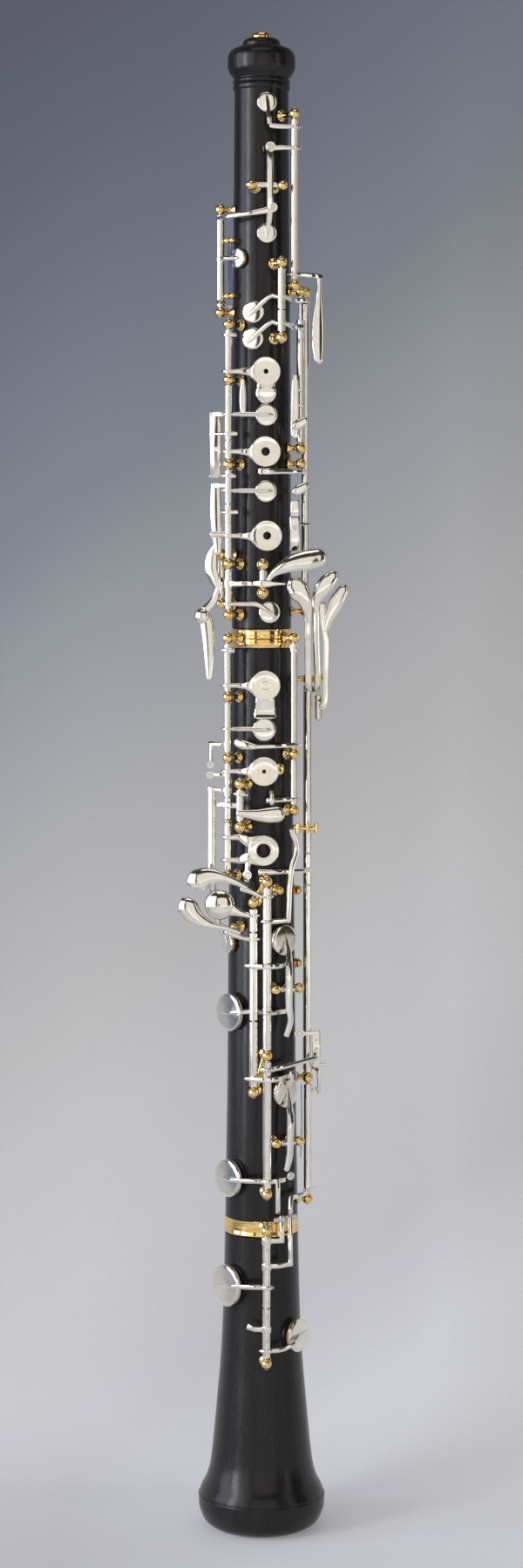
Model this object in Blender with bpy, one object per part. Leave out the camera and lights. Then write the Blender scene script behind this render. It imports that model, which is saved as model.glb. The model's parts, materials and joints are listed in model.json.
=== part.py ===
"""Oboe: three wooden joints, gold plated posts and rings, silver plated keywork.

Every length here is in millimetres and is scaled to metres when an object is made.
The origin is the centre of the bell's mouth, +Z runs up to the reed socket and the
front of the instrument, where the finger plates are, faces -Y.
Angles are measured round the body from the front, positive towards +X.
"""
import math

import bmesh
import bpy
from mathutils import Matrix, Vector

MM = 0.001

# ---------------------------------------------------------------- driving dimensions
OVERALL_LENGTH = 602.0
JOINT_SEAM = 362.5          # height where the upper joint meets the lower joint
BELL_SEAM = 124.8           # height where the lower joint meets the bell
GAP = 0.3                   # free space between neighbouring pieces

BODY_SEGMENTS = 24
BARREL_SEGMENTS = 10
CUP_SEGMENTS = 18
POST_SEGMENTS = 8

ROD_RADIUS = 0.7            # steel rod inside a barrel
BORE_RADIUS = 1.0           # hole through a barrel
BARREL_RADIUS = 1.6
STACK_BARREL_RADIUS = 1.75  # the two long stacks on the lower joint
CROSS_BARREL_RADIUS = 1.25
CROSS_BORE_RADIUS = 0.85
CROSS_ROD_RADIUS = 0.55
POST_BALL_RADIUS = 2.2
POST_FOOT_RADIUS = 2.3
POST_NECK_RADIUS = 1.0
POST_CLEARANCE = 2.4        # from a post's centre to the end of a barrel

ARM_WIDTH = 2.1
ARM_THICKNESS = 1.2
BLADE_THICKNESS = 1.3       # finger touches
CUP_HEIGHT = 2.1
PLATE_HEIGHT = 1.4
CLOSED = 0.4                # a closed pad cup stands this far over the wood
OPEN = 1.9                  # an open plate or pad cup stands this far over the wood
HALF_OPEN = 1.3

# Outer wood profile as (height, radius), from the bell's mouth to the crown.
BELL_OUTLINE = [
    (0.0, 20.0), (1.6, 22.6), (4.6, 24.6), (8.6, 25.7), (13.2, 25.9), (16.5, 24.4),
    (21.2, 22.0), (25.8, 20.95), (39.8, 19.35), (53.5, 18.1), (69.8, 16.7), (90.8, 15.65),
    (121.2, 14.9),
]
LOWER_OUTLINE = [
    (128.3, 14.75), (161.7, 14.25), (183.1, 13.9), (233.0, 13.5), (300.0, 12.75),
    (358.3, 12.1),
]
UPPER_OUTLINE = [
    (366.7, 11.95), (478.2, 11.5), (579.0, 10.75), (580.2, 11.1), (582.2, 11.4),
    (583.8, 11.0), (584.5, 10.7), (586.2, 11.4), (588.2, 12.9), (590.2, 13.4),
    (592.2, 12.6), (593.6, 11.0), (594.6, 9.4), (597.0, 8.6), (599.0, 7.2), (599.9, 5.9),
]

# Pad cups and finger plates: angle, height, cup radius, lift over the wood.
VENTS = {
    "side_octave": (9.7, 573.4, 3.9, CLOSED),
    "rocker": (9.3, 522.4, 3.9, CLOSED),
    "thumb_octave": (-47.0, 513.0, 3.9, CLOSED),
    "trill_upper": (-14.3, 491.5, 4.3, CLOSED),
    "trill_lower": (-15.1, 481.1, 4.3, CLOSED),
    "half_hole": (6.9, 468.1, 5.85, OPEN),
    "b_vent": (7.8, 451.1, 4.35, HALF_OPEN),
    "a_plate": (6.2, 436.6, 6.1, OPEN),
    "second_vent": (7.0, 421.0, 4.3, HALF_OPEN),
    "g_plate": (8.4, 403.4, 6.1, OPEN),
    "g_sharp": (13.5, 373.1, 4.3, CLOSED),
    "f_sharp_plate": (5.7, 344.0, 6.05, OPEN),
    "third_vent": (4.1, 326.5, 4.6, HALF_OPEN),
    "e_plate": (3.7, 309.8, 5.95, OPEN),
    "d_ring": (2.9, 278.2, 6.2, OPEN),
    "side_f": (-63.0, 240.1, 4.2, CLOSED),
    "e_flat": (37.5, 241.8, 6.1, CLOSED),
    "c_cup": (-51.0, 212.5, 7.6, OPEN),
    "c_sharp": (39.5, 180.2, 6.1, CLOSED),
    "b_cup": (-50.5, 145.1, 7.6, OPEN),
    "bell_b_flat": (-51.0, 101.3, 8.5, OPEN),
    "bell_vent": (53.0, 80.7, 6.7, HALF_OPEN),
}

# Vertical hinge lines: angle round the body and distance of the axis from the bore.
LINES = {
    "side_octave": (44.0, 18.8),
    "thumb_octave": (-75.0, 16.9),
    "trill_lever": (25.0, 18.5),
    "short_trill": (66.0, 17.0),
    "long_trill": (84.0, 17.7),
    "upper_stack": (-44.0, 18.7),
    "g_sharp_lever": (2.0, 18.5),
    "side_trill": (-63.0, 18.0),
    "lower_stack": (-44.8, 19.0),
    "fork": (50.0, 16.9),
    "banana": (-25.4, 19.8),
    "low_b": (80.8, 19.0),
    "low_b_flat": (96.0, 18.5),
    "left_f": (92.0, 23.0),
    "low_c": (6.0, 20.7),
    "c_sharp": (-9.0, 20.3),
    "bell": (5.0, 22.3),
}

# Short hinges that run across the body: angle, distance, height, half length.
CROSS_HINGES = {
    "rocker": (6.5, 18.0, 540.4, 6.2),
    "e_flat": (32.0, 19.6, 222.8, 5.6),
    "c_sharp": (32.0, 20.0, 160.8, 5.6),
}


# ---------------------------------------------------------------- positions
def polar(angle, radius, z):
    """Point at an angle from the front, a distance from the bore and a height."""
    turn = math.radians(angle)
    return Vector((radius * math.sin(turn), -radius * math.cos(turn), z))


def at(x, radius, z):
    """Point over the front half of the body at a given x and distance from the bore."""
    return Vector((x, -math.sqrt(radius * radius - x * x), z))


def on(line, z):
    """Point on a vertical hinge line."""
    angle, radius = LINES[line]
    return polar(angle, radius, z)


def wood_radius(z):
    """Outer radius of the wood at a height."""
    outline = BELL_OUTLINE + LOWER_OUTLINE + UPPER_OUTLINE
    for (z0, r0), (z1, r1) in zip(outline, outline[1:]):
        if z0 <= z <= z1:
            return r0 + (r1 - r0) * (z - z0) / (z1 - z0)
    return outline[-1][1]


def foot_radius(z):
    """Radius that a post's foot stands on: the wood, or a ring near a seam."""
    if abs(z - JOINT_SEAM) < 5.0:
        return 12.35
    if abs(z - BELL_SEAM) < 5.0:
        return 15.2
    return wood_radius(z)


# ---------------------------------------------------------------- basic solids
def solid(vertices, faces):
    """Mesh with outward faces from points in millimetres."""
    bm = bmesh.new()
    corners = [bm.verts.new(point) for point in vertices]
    for face in faces:
        bm.faces.new([corners[i] for i in face])
    bmesh.ops.recalc_face_normals(bm, faces=bm.faces)
    mesh = bpy.data.meshes.new("solid")
    bm.to_mesh(mesh)
    bm.free()
    return mesh


def frame_about(axis):
    """Two unit vectors at right angles to an axis."""
    axis = Vector(axis).normalized()
    helper = Vector((1, 0, 0)) if abs(axis.x) < 0.8 else Vector((0, 0, 1))
    side = axis.cross(helper).normalized()
    return side, axis.cross(side)


def turned(profile, origin=(0, 0, 0), axis=(0, 0, 1), segments=12, hollow=False):
    """Solid of revolution of (radius, height) points; a hollow profile is a closed loop."""
    axis = Vector(axis).normalized()
    side, across = frame_about(axis)
    vertices = []
    rings = []
    for radius, height in profile:
        centre = Vector(origin) + axis * height
        if radius == 0:
            rings.append([len(vertices)])
            vertices.append(centre)
            continue
        ring = []
        for i in range(segments):
            turn = 2 * math.pi * (i + 0.5) / segments
            ring.append(len(vertices))
            vertices.append(centre + (side * math.cos(turn) + across * math.sin(turn)) * radius)
        rings.append(ring)
    faces = []
    pairs = list(zip(rings, rings[1:]))
    if hollow:
        pairs.append((rings[-1], rings[0]))
    else:
        faces += [ring for ring in (rings[0], rings[-1]) if len(ring) > 1]
    for low, high in pairs:
        for i in range(segments):
            j = (i + 1) % segments
            if len(low) == 1:
                faces.append([low[0], high[j], high[i]])
            elif len(high) == 1:
                faces.append([low[i], low[j], high[0]])
            else:
                faces.append([low[i], low[j], high[j], high[i]])
    return solid(vertices, faces)


def rod(start, end, radius, segments=POST_SEGMENTS):
    """Plain round bar between two points."""
    start, end = Vector(start), Vector(end)
    length = (end - start).length
    return turned([(radius, 0), (radius, length)], start, end - start, segments)


def strip(points, widths, thickness=ARM_THICKNESS, facing=None):
    """Flat bar along a path. Its face looks away from the bore, or along facing."""
    points = [Vector(point) for point in points]
    if isinstance(widths, (int, float)):
        widths = [widths] * len(points)
    vertices = []
    for i, point in enumerate(points):
        before = points[max(i - 1, 0)]
        after = points[min(i + 1, len(points) - 1)]
        along = (after - before).normalized()
        outward = Vector(facing) if facing else Vector((point.x, point.y, 0))
        normal = (outward - along * outward.dot(along)).normalized()
        across = along.cross(normal)
        half_width = across * widths[i] / 2
        half_depth = normal * thickness / 2
        vertices += [
            point + half_width + half_depth, point - half_width + half_depth,
            point - half_width - half_depth, point + half_width - half_depth,
        ]
    faces = [[0, 1, 2, 3], [len(vertices) - 4 + i for i in (3, 2, 1, 0)]]
    for k in range(0, len(vertices) - 4, 4):
        for i in range(4):
            j = (i + 1) % 4
            faces.append([k + i, k + j, k + 4 + j, k + 4 + i])
    return solid(vertices, faces)


def touch(points, widths, facing=(0, -1, 0)):
    """Finger touch: a flat blade whose last point is rounded off."""
    points = [Vector(point) for point in points]
    widths = list(widths)
    tip = points[-1]
    along = (tip - points[-2]).normalized()
    reach = widths[-1] / 2
    for share in (0.5, 0.85, 0.98):
        points.append(tip + along * reach * share)
        widths.append(2 * reach * math.sqrt(1 - share ** 2))
    return strip(points, widths, BLADE_THICKNESS, facing)


def cup(vent, height=CUP_HEIGHT, hole=0.0):
    """Round pad cup or plate over its tone hole, with a flat underside."""
    angle, z, radius, lift = VENTS[vent]
    base = polar(angle, wood_radius(z) + lift, z)
    outward = polar(angle, 1.0, 0)
    edge = min(0.6, height * 0.4)
    if hole:
        profile = [(hole, 0), (radius, 0), (radius, height - edge), (radius - edge, height),
                   (hole, height)]
        return turned(profile, base, outward, CUP_SEGMENTS, hollow=True)
    profile = [(radius, 0), (radius, height - edge), (radius - edge, height)]
    return turned(profile, base, outward, CUP_SEGMENTS)


def cup_top(vent, height=CUP_HEIGHT, sink=0.4):
    """Centre of a cup's top face, sunk a little so that an arm can grip it."""
    angle, z, _, lift = VENTS[vent]
    return polar(angle, wood_radius(z) + lift + height - sink + ARM_THICKNESS / 2, z)


def plate_edge(vent, inset=1.6, height=PLATE_HEIGHT):
    """Point inside the left edge of a finger plate, where its arm joins."""
    angle, z, radius, lift = VENTS[vent]
    centre = polar(angle, wood_radius(z) + lift + height / 2, z)
    left = -polar(angle + 90.0, 1.0, 0)
    return centre + left * (radius - inset)


def barrel(line, low, high, radius=BARREL_RADIUS):
    """Solid barrel on a vertical hinge line; its bore is cut later."""
    return rod(on(line, low), on(line, high), radius, BARREL_SEGMENTS)


def post(angle, reach, z, ball=POST_BALL_RADIUS):
    """Foot, neck and ball of a post; the ball's centre is at reach from the bore."""
    foot = foot_radius(z) + GAP
    height = reach - foot
    waist = math.sqrt(ball ** 2 - POST_NECK_RADIUS ** 2)
    profile = [
        (POST_FOOT_RADIUS, 0), (POST_FOOT_RADIUS, 0.6), (POST_NECK_RADIUS, 1.3),
        (POST_NECK_RADIUS, height - waist), (ball * 0.93, height - ball * 0.38),
        (ball * 0.93, height + ball * 0.38), (POST_NECK_RADIUS, height + waist), (0, height + ball),
    ]
    return turned(profile, polar(angle, foot, z), polar(angle, 1.0, 0), POST_SEGMENTS)


def ball(line, z):
    """Round head that shares another post's foot, on a vertical hinge line."""
    radius = POST_BALL_RADIUS
    profile = [(0, -radius), (radius * 0.93, -radius * 0.38), (radius * 0.93, radius * 0.38), (0, radius)]
    return turned(profile, on(line, z), polar(LINES[line][0], 1.0, 0), POST_SEGMENTS)


# ---------------------------------------------------------------- joining and output
def evaluated_mesh(holder):
    """Mesh of an object after its modifiers."""
    depsgraph = bpy.context.evaluated_depsgraph_get()
    return bpy.data.meshes.new_from_object(holder.evaluated_get(depsgraph))


def combine(pieces, cuts=()):
    """Union of the pieces, minus the cuts, as one mesh."""
    helpers = []
    for mesh in list(pieces) + list(cuts):
        helper = bpy.data.objects.new("helper", mesh)
        bpy.context.collection.objects.link(helper)
        helpers.append(helper)
    base = helpers[0]
    for i, helper in enumerate(helpers[1:], start=1):
        step = base.modifiers.new("step", "BOOLEAN")
        step.solver = "EXACT"
        step.operation = "UNION" if i < len(pieces) else "DIFFERENCE"
        step.object = helper
    result = evaluated_mesh(base)
    for helper in helpers:
        bpy.data.objects.remove(helper)
    return result


def place(name, mesh, material, origin=(0, 0, 0)):
    """Final object with its origin at a point on its axis, in metres."""
    origin = Vector(origin)
    mesh.transform(Matrix.Translation(-origin))
    mesh.transform(Matrix.Scale(MM, 4))
    mesh.name = name
    mesh.materials.clear()
    mesh.materials.append(material)
    mesh.shade_smooth()
    mesh.set_sharp_from_angle(angle=math.radians(38))
    item = bpy.data.objects.new(name, mesh)
    item.location = origin * MM
    item.parent = bpy.data.objects["oboe"]
    bpy.context.collection.objects.link(item)
    return item


def key(name, line, low, high, pieces, radius=BARREL_RADIUS):
    """Key on a vertical hinge line: a barrel and its arms, bored for the steel rod."""
    body = barrel(line, low, high, radius)
    bore = rod(on(line, low - 1), on(line, high + 1), BORE_RADIUS)
    place(name, combine([body] + pieces, [bore]), SILVER, on(line, (low + high) / 2))


def cross_key(name, hinge, pieces):
    """Key on a short hinge that runs across the body."""
    centre, along, half = cross_axis(hinge)
    reach = half - POST_CLEARANCE
    body = rod(centre - along * reach, centre + along * reach, CROSS_BARREL_RADIUS, BARREL_SEGMENTS)
    bore = rod(centre - along * half, centre + along * half, CROSS_BORE_RADIUS)
    place(name, combine([body] + pieces, [bore]), SILVER, centre)


def cross_axis(hinge):
    """Centre, direction and half length of a cross hinge."""
    angle, radius, z, half = CROSS_HINGES[hinge]
    turn = math.radians(angle)
    return polar(angle, radius, z), Vector((math.cos(turn), math.sin(turn), 0)), half


def material(name, colour, metallic, roughness):
    """Principled material with a base colour, a metallic value and a roughness."""
    item = bpy.data.materials.new(name)
    item.use_nodes = True
    shader = item.node_tree.nodes["Principled BSDF"]
    shader.inputs["Base Color"].default_value = (*colour, 1.0)
    shader.inputs["Metallic"].default_value = metallic
    shader.inputs["Roughness"].default_value = roughness
    return item


# ---------------------------------------------------------------- wood and rings
def tone_holes(low, high):
    """Round cutters through the wood for the vents between two heights."""
    cutters = []
    for angle, z, radius, _ in VENTS.values():
        if low < z < high:
            bore = bore_radius(z)
            start = polar(angle, bore * 0.5, z)
            end = polar(angle, wood_radius(z) + 1.0, z)
            cutters.append(rod(start, end, min(radius * 0.42, bore * 0.8), 6))
    return cutters


def bore_radius(z):
    """Radius of the conical bore at a height."""
    return 8.0 + (2.1 - 8.0) * (z - BELL_SEAM) / (575.0 - BELL_SEAM)


def wooden_joints():
    """Upper joint, lower joint and bell, with tenons, sockets, bore and tone holes."""
    tenon = 20.0
    upper = [(8.3, JOINT_SEAM - tenon), (8.3, JOINT_SEAM + 0.1), (11.2, JOINT_SEAM + 0.2),
             (11.2, 366.4)]
    upper += [(r, z) for z, r in UPPER_OUTLINE]
    upper += [(4.5, 599.9), (4.5, 575.0), (2.1, 575.0), (bore_radius(343.0), JOINT_SEAM - tenon)]
    mesh = combine([turned(upper, segments=BODY_SEGMENTS, hollow=True)], tone_holes(367, 580))
    place("upper_joint", mesh, WOOD)

    lower = [(11.0, BELL_SEAM - tenon), (11.0, BELL_SEAM + 0.2), (13.9, BELL_SEAM + 0.2),
             (13.9, 128.0)]
    lower += [(r, z) for z, r in LOWER_OUTLINE]
    lower += [(11.3, 358.6), (11.3, JOINT_SEAM - 0.2), (8.6, JOINT_SEAM - 0.2),
              (8.6, JOINT_SEAM - tenon - 0.5),
              (bore_radius(341.0), JOINT_SEAM - tenon - 0.5),
              (bore_radius(BELL_SEAM - tenon), BELL_SEAM - tenon)]
    mesh = combine([turned(lower, segments=BODY_SEGMENTS, hollow=True)], tone_holes(129, 358))
    place("lower_joint", mesh, WOOD)

    bell = [(r, z) for z, r in BELL_OUTLINE]
    bell += [(13.9, 121.4), (13.9, BELL_SEAM - 0.2), (11.3, BELL_SEAM - 0.2),
             (11.3, BELL_SEAM - tenon - 0.5), (8.6, BELL_SEAM - tenon - 0.5), (10.2, 80.0),
             (12.6, 52.0), (15.3, 30.0), (17.6, 13.0), (18.4, 4.0), (18.4, 0.0)]
    mesh = combine([turned(bell, segments=BODY_SEGMENTS, hollow=True)], tone_holes(70, 105))
    place("bell", mesh, WOOD)


def gold_rings():
    """Reed socket liner and the ferrules at the two seams."""
    liner = [(4.2, 575.4), (4.2, OVERALL_LENGTH), (3.4, OVERALL_LENGTH), (3.4, 575.4)]
    place("reed_socket_liner", turned(liner, segments=BODY_SEGMENTS, hollow=True), GOLD)
    upper = [(11.6, 362.7), (12.2, 362.9), (12.2, 366.1), (11.9, 366.4), (11.6, 366.4)]
    place("upper_joint_ring", turned(upper, segments=BODY_SEGMENTS, hollow=True), GOLD)
    lower = [(11.6, 358.9), (12.2, 358.9), (12.3, 362.0), (12.1, 362.3), (11.6, 362.3)]
    place("lower_joint_ring", turned(lower, segments=BODY_SEGMENTS, hollow=True), GOLD)
    bell = [(14.25, 121.6), (15.1, 121.6), (15.15, 124.4), (14.8, 124.8), (15.1, 125.2),
            (15.0, 128.0), (14.25, 128.0)]
    place("bell_ring", turned(bell, segments=BODY_SEGMENTS, hollow=True), GOLD)


def thumb_rest():
    """Foot plate and curved hook on the back of the lower joint."""
    z = 302.0
    near = wood_radius(z) + GAP
    foot = strip([(0, near + 0.6, z - 11), (0, near + 0.6, z + 11)], 8.0, 1.2)
    hook = strip([(0, near + 0.8, z), (0, near + 6, z + 0.4), (0, near + 10, z - 1.4),
                  (0, near + 11.8, z - 5.0)], [7.0, 9.0, 10.0, 9.0], 1.6, (0, 0, 1))
    place("thumb_rest", combine([foot, hook]), SILVER)


# ---------------------------------------------------------------- posts and rods
def line_posts(name, line, heights, extra=()):
    """Posts of a hinge line and the steel rod that runs through their balls."""
    angle, reach = LINES[line]
    pieces = [rod(on(line, heights[-1]), on(line, heights[0]), ROD_RADIUS)]
    pieces += [post(angle, reach, z) for z in heights]
    place(name, combine(pieces + list(extra)), GOLD)


def cross_posts(name, hinge):
    """Two posts and a short steel rod across the body."""
    centre, along, half = cross_axis(hinge)
    pieces = [rod(centre - along * half, centre + along * half, CROSS_ROD_RADIUS)]
    for end in (centre - along * half, centre + along * half):
        angle = math.degrees(math.atan2(end.x, -end.y))
        reach = math.hypot(end.x, end.y)
        pieces.append(post(angle, reach, end.z, 2.0))
    place(name, combine(pieces), GOLD)


def twin_post(lines, z):
    """One foot that carries a ball for each of several parallel hinge lines."""
    (first, reach), (second, other) = [LINES[line] for line in lines[:2]]
    middle = (first + second) / 2
    foot = wood_radius(z) + GAP
    saddle = min(reach, other) * math.cos(math.radians((second - first) / 2)) + 0.4 - foot
    neck = [(POST_FOOT_RADIUS, 0), (POST_FOOT_RADIUS, 0.6), (1.2, 1.3), (1.2, saddle)]
    pieces = [turned(neck, polar(middle, foot, z), polar(middle, 1, 0), POST_SEGMENTS)]
    pieces += [rod(on(start, z), on(end, z), 1.1) for start, end in zip(lines, lines[1:])]
    pieces += [ball(line, z) for line in lines]
    return pieces


def line_post(line, z):
    """Single post of a vertical hinge line."""
    angle, reach = LINES[line]
    return post(angle, reach, z)


def line_rod(line, low, high):
    """Steel rod along part of a vertical hinge line."""
    return rod(on(line, low), on(line, high), ROD_RADIUS)


def foot_bar(line_a, z_a, line_b, z_b):
    """Thin bar over the wood that joins the feet of two neighbouring posts."""
    points = []
    for share in (0.0, 0.5, 1.0):
        angle = LINES[line_a][0] * (1 - share) + LINES[line_b][0] * share
        z = z_a * (1 - share) + z_b * share
        points.append(polar(angle, wood_radius(z) + GAP + 0.4, z))
    return strip(points, 2.0, 0.6)


def trill_rod_posts():
    """Posts of the two side by side trill rods."""
    pieces = twin_post(("short_trill", "long_trill"), 500.1)
    pieces += [line_rod("short_trill", 438.3, 500.1), line_post("short_trill", 438.3)]
    pieces += [line_rod("long_trill", 373.4, 500.1), line_post("long_trill", 373.4)]
    place("trill_rod_posts", combine(pieces), GOLD)


def long_lever_posts():
    """Posts of the left hand little finger levers and of the link to the bell."""
    pieces = twin_post(("low_b", "low_b_flat", "left_f"), 346.2)
    pieces += [line_rod("low_b_flat", 184.6, 346.2), line_rod("left_f", 329.0, 346.2)]
    pieces += twin_post(("low_b", "low_b_flat"), 184.6)
    pieces += [line_rod("low_b", 135.0, 184.6), line_post("low_b", 135.0)]
    place("long_lever_posts", combine(pieces), GOLD)


def foot_joint_posts():
    """Posts of the low C and low B line and of the C sharp and E flat line beside it."""
    pieces = [line_rod("low_c", 140.5, 266.1)]
    pieces += [line_post("low_c", z) for z in (266.1, 196.4, 140.5)]
    pieces += [line_post("c_sharp", z) for z in (257.8, 181.5)]
    pieces += [foot_bar("low_c", 266.1, "c_sharp", 257.8), foot_bar("low_c", 196.4, "c_sharp", 181.5)]
    place("foot_joint_posts", combine(pieces), GOLD)


def all_posts():
    """Every hinge line's posts."""
    line_posts("side_octave_posts", "side_octave", (568.7, 501.9))
    line_posts("thumb_octave_posts", "thumb_octave", (532.5, 492.0))
    line_posts("trill_lever_posts", "trill_lever", (510.6, 481.2))
    line_posts("upper_stack_posts", "upper_stack", (486.7, 464.9, 431.6, 392.3, 372.1))
    line_posts("g_sharp_lever_posts", "g_sharp_lever", (392.0, 380.8))
    line_posts("side_trill_posts", "side_trill", (396.0, 376.4))
    line_posts("lower_stack_posts", "lower_stack", (362.8, 339.4, 315.1, 268.0))
    line_posts("fork_posts", "fork", (362.8, 316.5, 294.0))
    line_posts("banana_posts", "banana", (305.0, 287.8))
    line_posts("bell_posts", "bell", (126.0, 71.9))
    cross_posts("rocker_posts", "rocker")
    cross_posts("e_flat_hinge_posts", "e_flat")
    cross_posts("c_sharp_hinge_posts", "c_sharp")
    trill_rod_posts()
    long_lever_posts()
    foot_joint_posts()


# ---------------------------------------------------------------- keys of the upper joint
def octave_keys():
    """Side octave key, the rocking vent across the body, and the thumb octave key."""
    line = "side_octave"
    key("side_octave_key", line, 504.3, 566.3, [
        strip([on(line, 563.5), at(8.4, 17.0, 563.5), at(4.4, 15.2, 564.0), at(2.6, 14.3, 567.0),
               cup_top("side_octave")], ARM_WIDTH),
        cup("side_octave"),
        strip([on(line, 555.3), at(8.0, 16.9, 555.3), at(3.3, 15.3, 554.9)], ARM_WIDTH),
        strip([on(line, 506.0), (17.5, -12.6, 506.0), (21.2, -9.6, 505.4), (22.6, -7.4, 502.0)], ARM_WIDTH),
        touch([(22.6, -7.4, 503.0), (22.8, -6.6, 495.0), (22.8, -6.4, 486.0), (22.8, -6.2, 471.5)],
              [2.1, 3.0, 5.6, 4.6], (0.6, -0.8, 0)),
    ])
    cross_key("octave_rocker", "rocker", [
        strip([(3.3, -18.9, 556.0), (3.3, -18.9, 531.4), (3.0, -17.0, 527.0), cup_top("rocker")], ARM_WIDTH),
        cup("rocker"),
    ])
    line = "thumb_octave"
    rear = 190.0
    key("thumb_octave_key", line, 494.4, 530.1, [
        strip([(-19.2, -3.4, 529.0), on(line, 529.0), (-14.9, -9.4, 529.0), (-10.5, -13.7, 529.0),
               (-4.0, -16.2, 529.6), (3.4, -16.3, 531.0)], ARM_WIDTH),
        strip([on(line, 513.0), (-13.6, -8.6, 513.0), cup_top("thumb_octave")], ARM_WIDTH),
        cup("thumb_octave"),
        strip([on(line, 496.0), polar(-105, 16.6, 496.0), polar(-135, 16.2, 495.6),
               polar(-160, 15.8, 494.5), polar(rear, 15.6, 492.0)], ARM_WIDTH),
        touch([polar(rear, 15.6, 494.0), polar(rear, 15.6, 489.0), polar(rear, 15.6, 482.5)],
              [8.0, 9.6, 8.6], polar(rear, 1, 0)),
    ])


def trill_keys():
    """Two cup levers on the front and the two long rods that push them."""
    line = "trill_lever"
    for name, vent, low, high, z in (
            ("upper_trill_lever", "trill_upper", 492.3, 508.1, 497.0),
            ("lower_trill_lever", "trill_lower", 483.7, 491.8, 486.7)):
        key(name, line, low, high, [
            strip([on(line, z), at(2.4, 16.1, z), cup_top(vent)], ARM_WIDTH),
            cup(vent),
            strip([on(line, z), (10.9, -14.0, z - 0.4), (11.95, -10.6, z - 0.8)], ARM_WIDTH),
        ])
    line = "short_trill"
    key("short_trill_key", line, 440.7, 488.9, [
        strip([on(line, 485.8), (16.6, -10.4, 485.8), (13.4, -12.0, 485.8)], ARM_WIDTH),
        strip([on(line, 455.0), (15.6, -10.0, 455.0)], ARM_WIDTH, facing=(1, 0, 0)),
        strip([(13.4, -10.4, 455.0), (16.6, -10.4, 455.0)], ARM_WIDTH, facing=(0, -1, 0)),
        strip([(13.3, -10.4, 466.5), (13.3, -10.4, 443.0)], 2.6, facing=(0, -1, 0)),
        strip([on(line, 448.2), (15.9, -10.4, 448.2)], ARM_WIDTH, facing=(1, 0, 0)),
        touch([(13.4, -10.8, 447.4), (16.4, -10.8, 448.6)], [3.4, 3.8]),
    ])
    line = "long_trill"
    key("long_trill_key", line, 375.8, 497.7, [
        strip([on(line, 496.2), (19.2, -5.6, 496.2), (17.2, -10.3, 496.2), (13.5, -12.1, 496.2)], ARM_WIDTH),
        strip([on(line, 428.8), (18.0, -6.6, 428.8), (14.2, -10.8, 428.8), at(8.0, 15.6, 428.8),
               at(-0.6, 14.7, 428.8)], ARM_WIDTH),
        strip([on(line, 422.0), (18.0, -7.0, 422.0), (14.2, -10.4, 422.0)], ARM_WIDTH),
        touch([(13.6, -10.8, 421.6), (16.8, -10.0, 422.8)], [3.6, 4.0]),
        strip([on(line, 408.0), (18.0, -7.0, 408.0), (13.3, -10.4, 408.0)], ARM_WIDTH),
        strip([(13.3, -10.4, 417.5), (13.3, -10.4, 397.6)], 2.6, facing=(0, -1, 0)),
    ])


def finger_key(name, line, low, high, vent, hole=0.0, extra=()):
    """Key whose arm carries a finger plate or ring."""
    z = VENTS[vent][1]
    key(name, line, low, high, [
        strip([on(line, z), at(-8.0, LINES[line][1] - 2.2, z), plate_edge(vent)], [ARM_WIDTH, 2.4, 3.4]),
        cup(vent, PLATE_HEIGHT, hole),
    ] + list(extra))


def vent_key(name, line, low, high, vent, extra=()):
    """Key whose arm runs to the middle of a small pad cup."""
    z = VENTS[vent][1] + 0.2
    key(name, line, low, high, [
        strip([on(line, z), at(-7.0, LINES[line][1] - 2.4, z), cup_top(vent)], ARM_WIDTH),
        cup(vent),
    ] + list(extra))


def upper_stack_keys():
    """Left hand finger plates and the small vents between them."""
    line = "upper_stack"
    outer = (-18.2, -11.6)
    tail = strip([(1.8, -14.3, 463.8), (1.8, -14.3, 456.6)], 7.0, PLATE_HEIGHT, (0, -1, 0))
    finger_key("half_hole_key", line, 467.3, 484.2, "half_hole", 0.9, [tail])
    vent_key("b_vent_key", line, 441.3, 462.5, "b_vent", [
        strip([on(line, 451.3), (*outer, 451.3)], 1.8),
        strip([(*outer, 452.2), (*outer, 426.6)], 1.8),
        strip([at(-7.3, 15.9, 465.4), at(-7.3, 15.9, 451.0)], 2.4, facing=(0, -1, 0)),
    ])
    finger_key("a_key", line, 434.0, 440.9, "a_plate", 1.6, [
        strip([on(line, 436.4), (-16.4, -12.3, 436.4)], ARM_WIDTH),
    ])
    vent_key("second_vent_key", line, 416.2, 429.2, "second_vent", [
        strip([on(line, 423.2), (*outer, 423.2)], 1.8),
        strip([(*outer, 424.1), (*outer, 399.2)], 1.8),
    ])
    finger_key("g_key", line, 394.7, 415.7, "g_plate", 1.5, [
        strip([(-16.3, -12.4, 412.7), on(line, 412.7), at(-8.8, 16.9, 412.7)], ARM_WIDTH),
    ])
    key("g_sharp_key", line, 374.5, 389.8, [
        strip([on(line, 376.4), at(-7.0, 16.4, 376.4), at(-1.5, 15.3, 376.2), cup_top("g_sharp")],
              ARM_WIDTH),
        cup("g_sharp"),
        strip([on(line, 384.4), (-11.3, -17.8, 384.4), (-7.0, -19.7, 384.4)], ARM_WIDTH),
    ])


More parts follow.
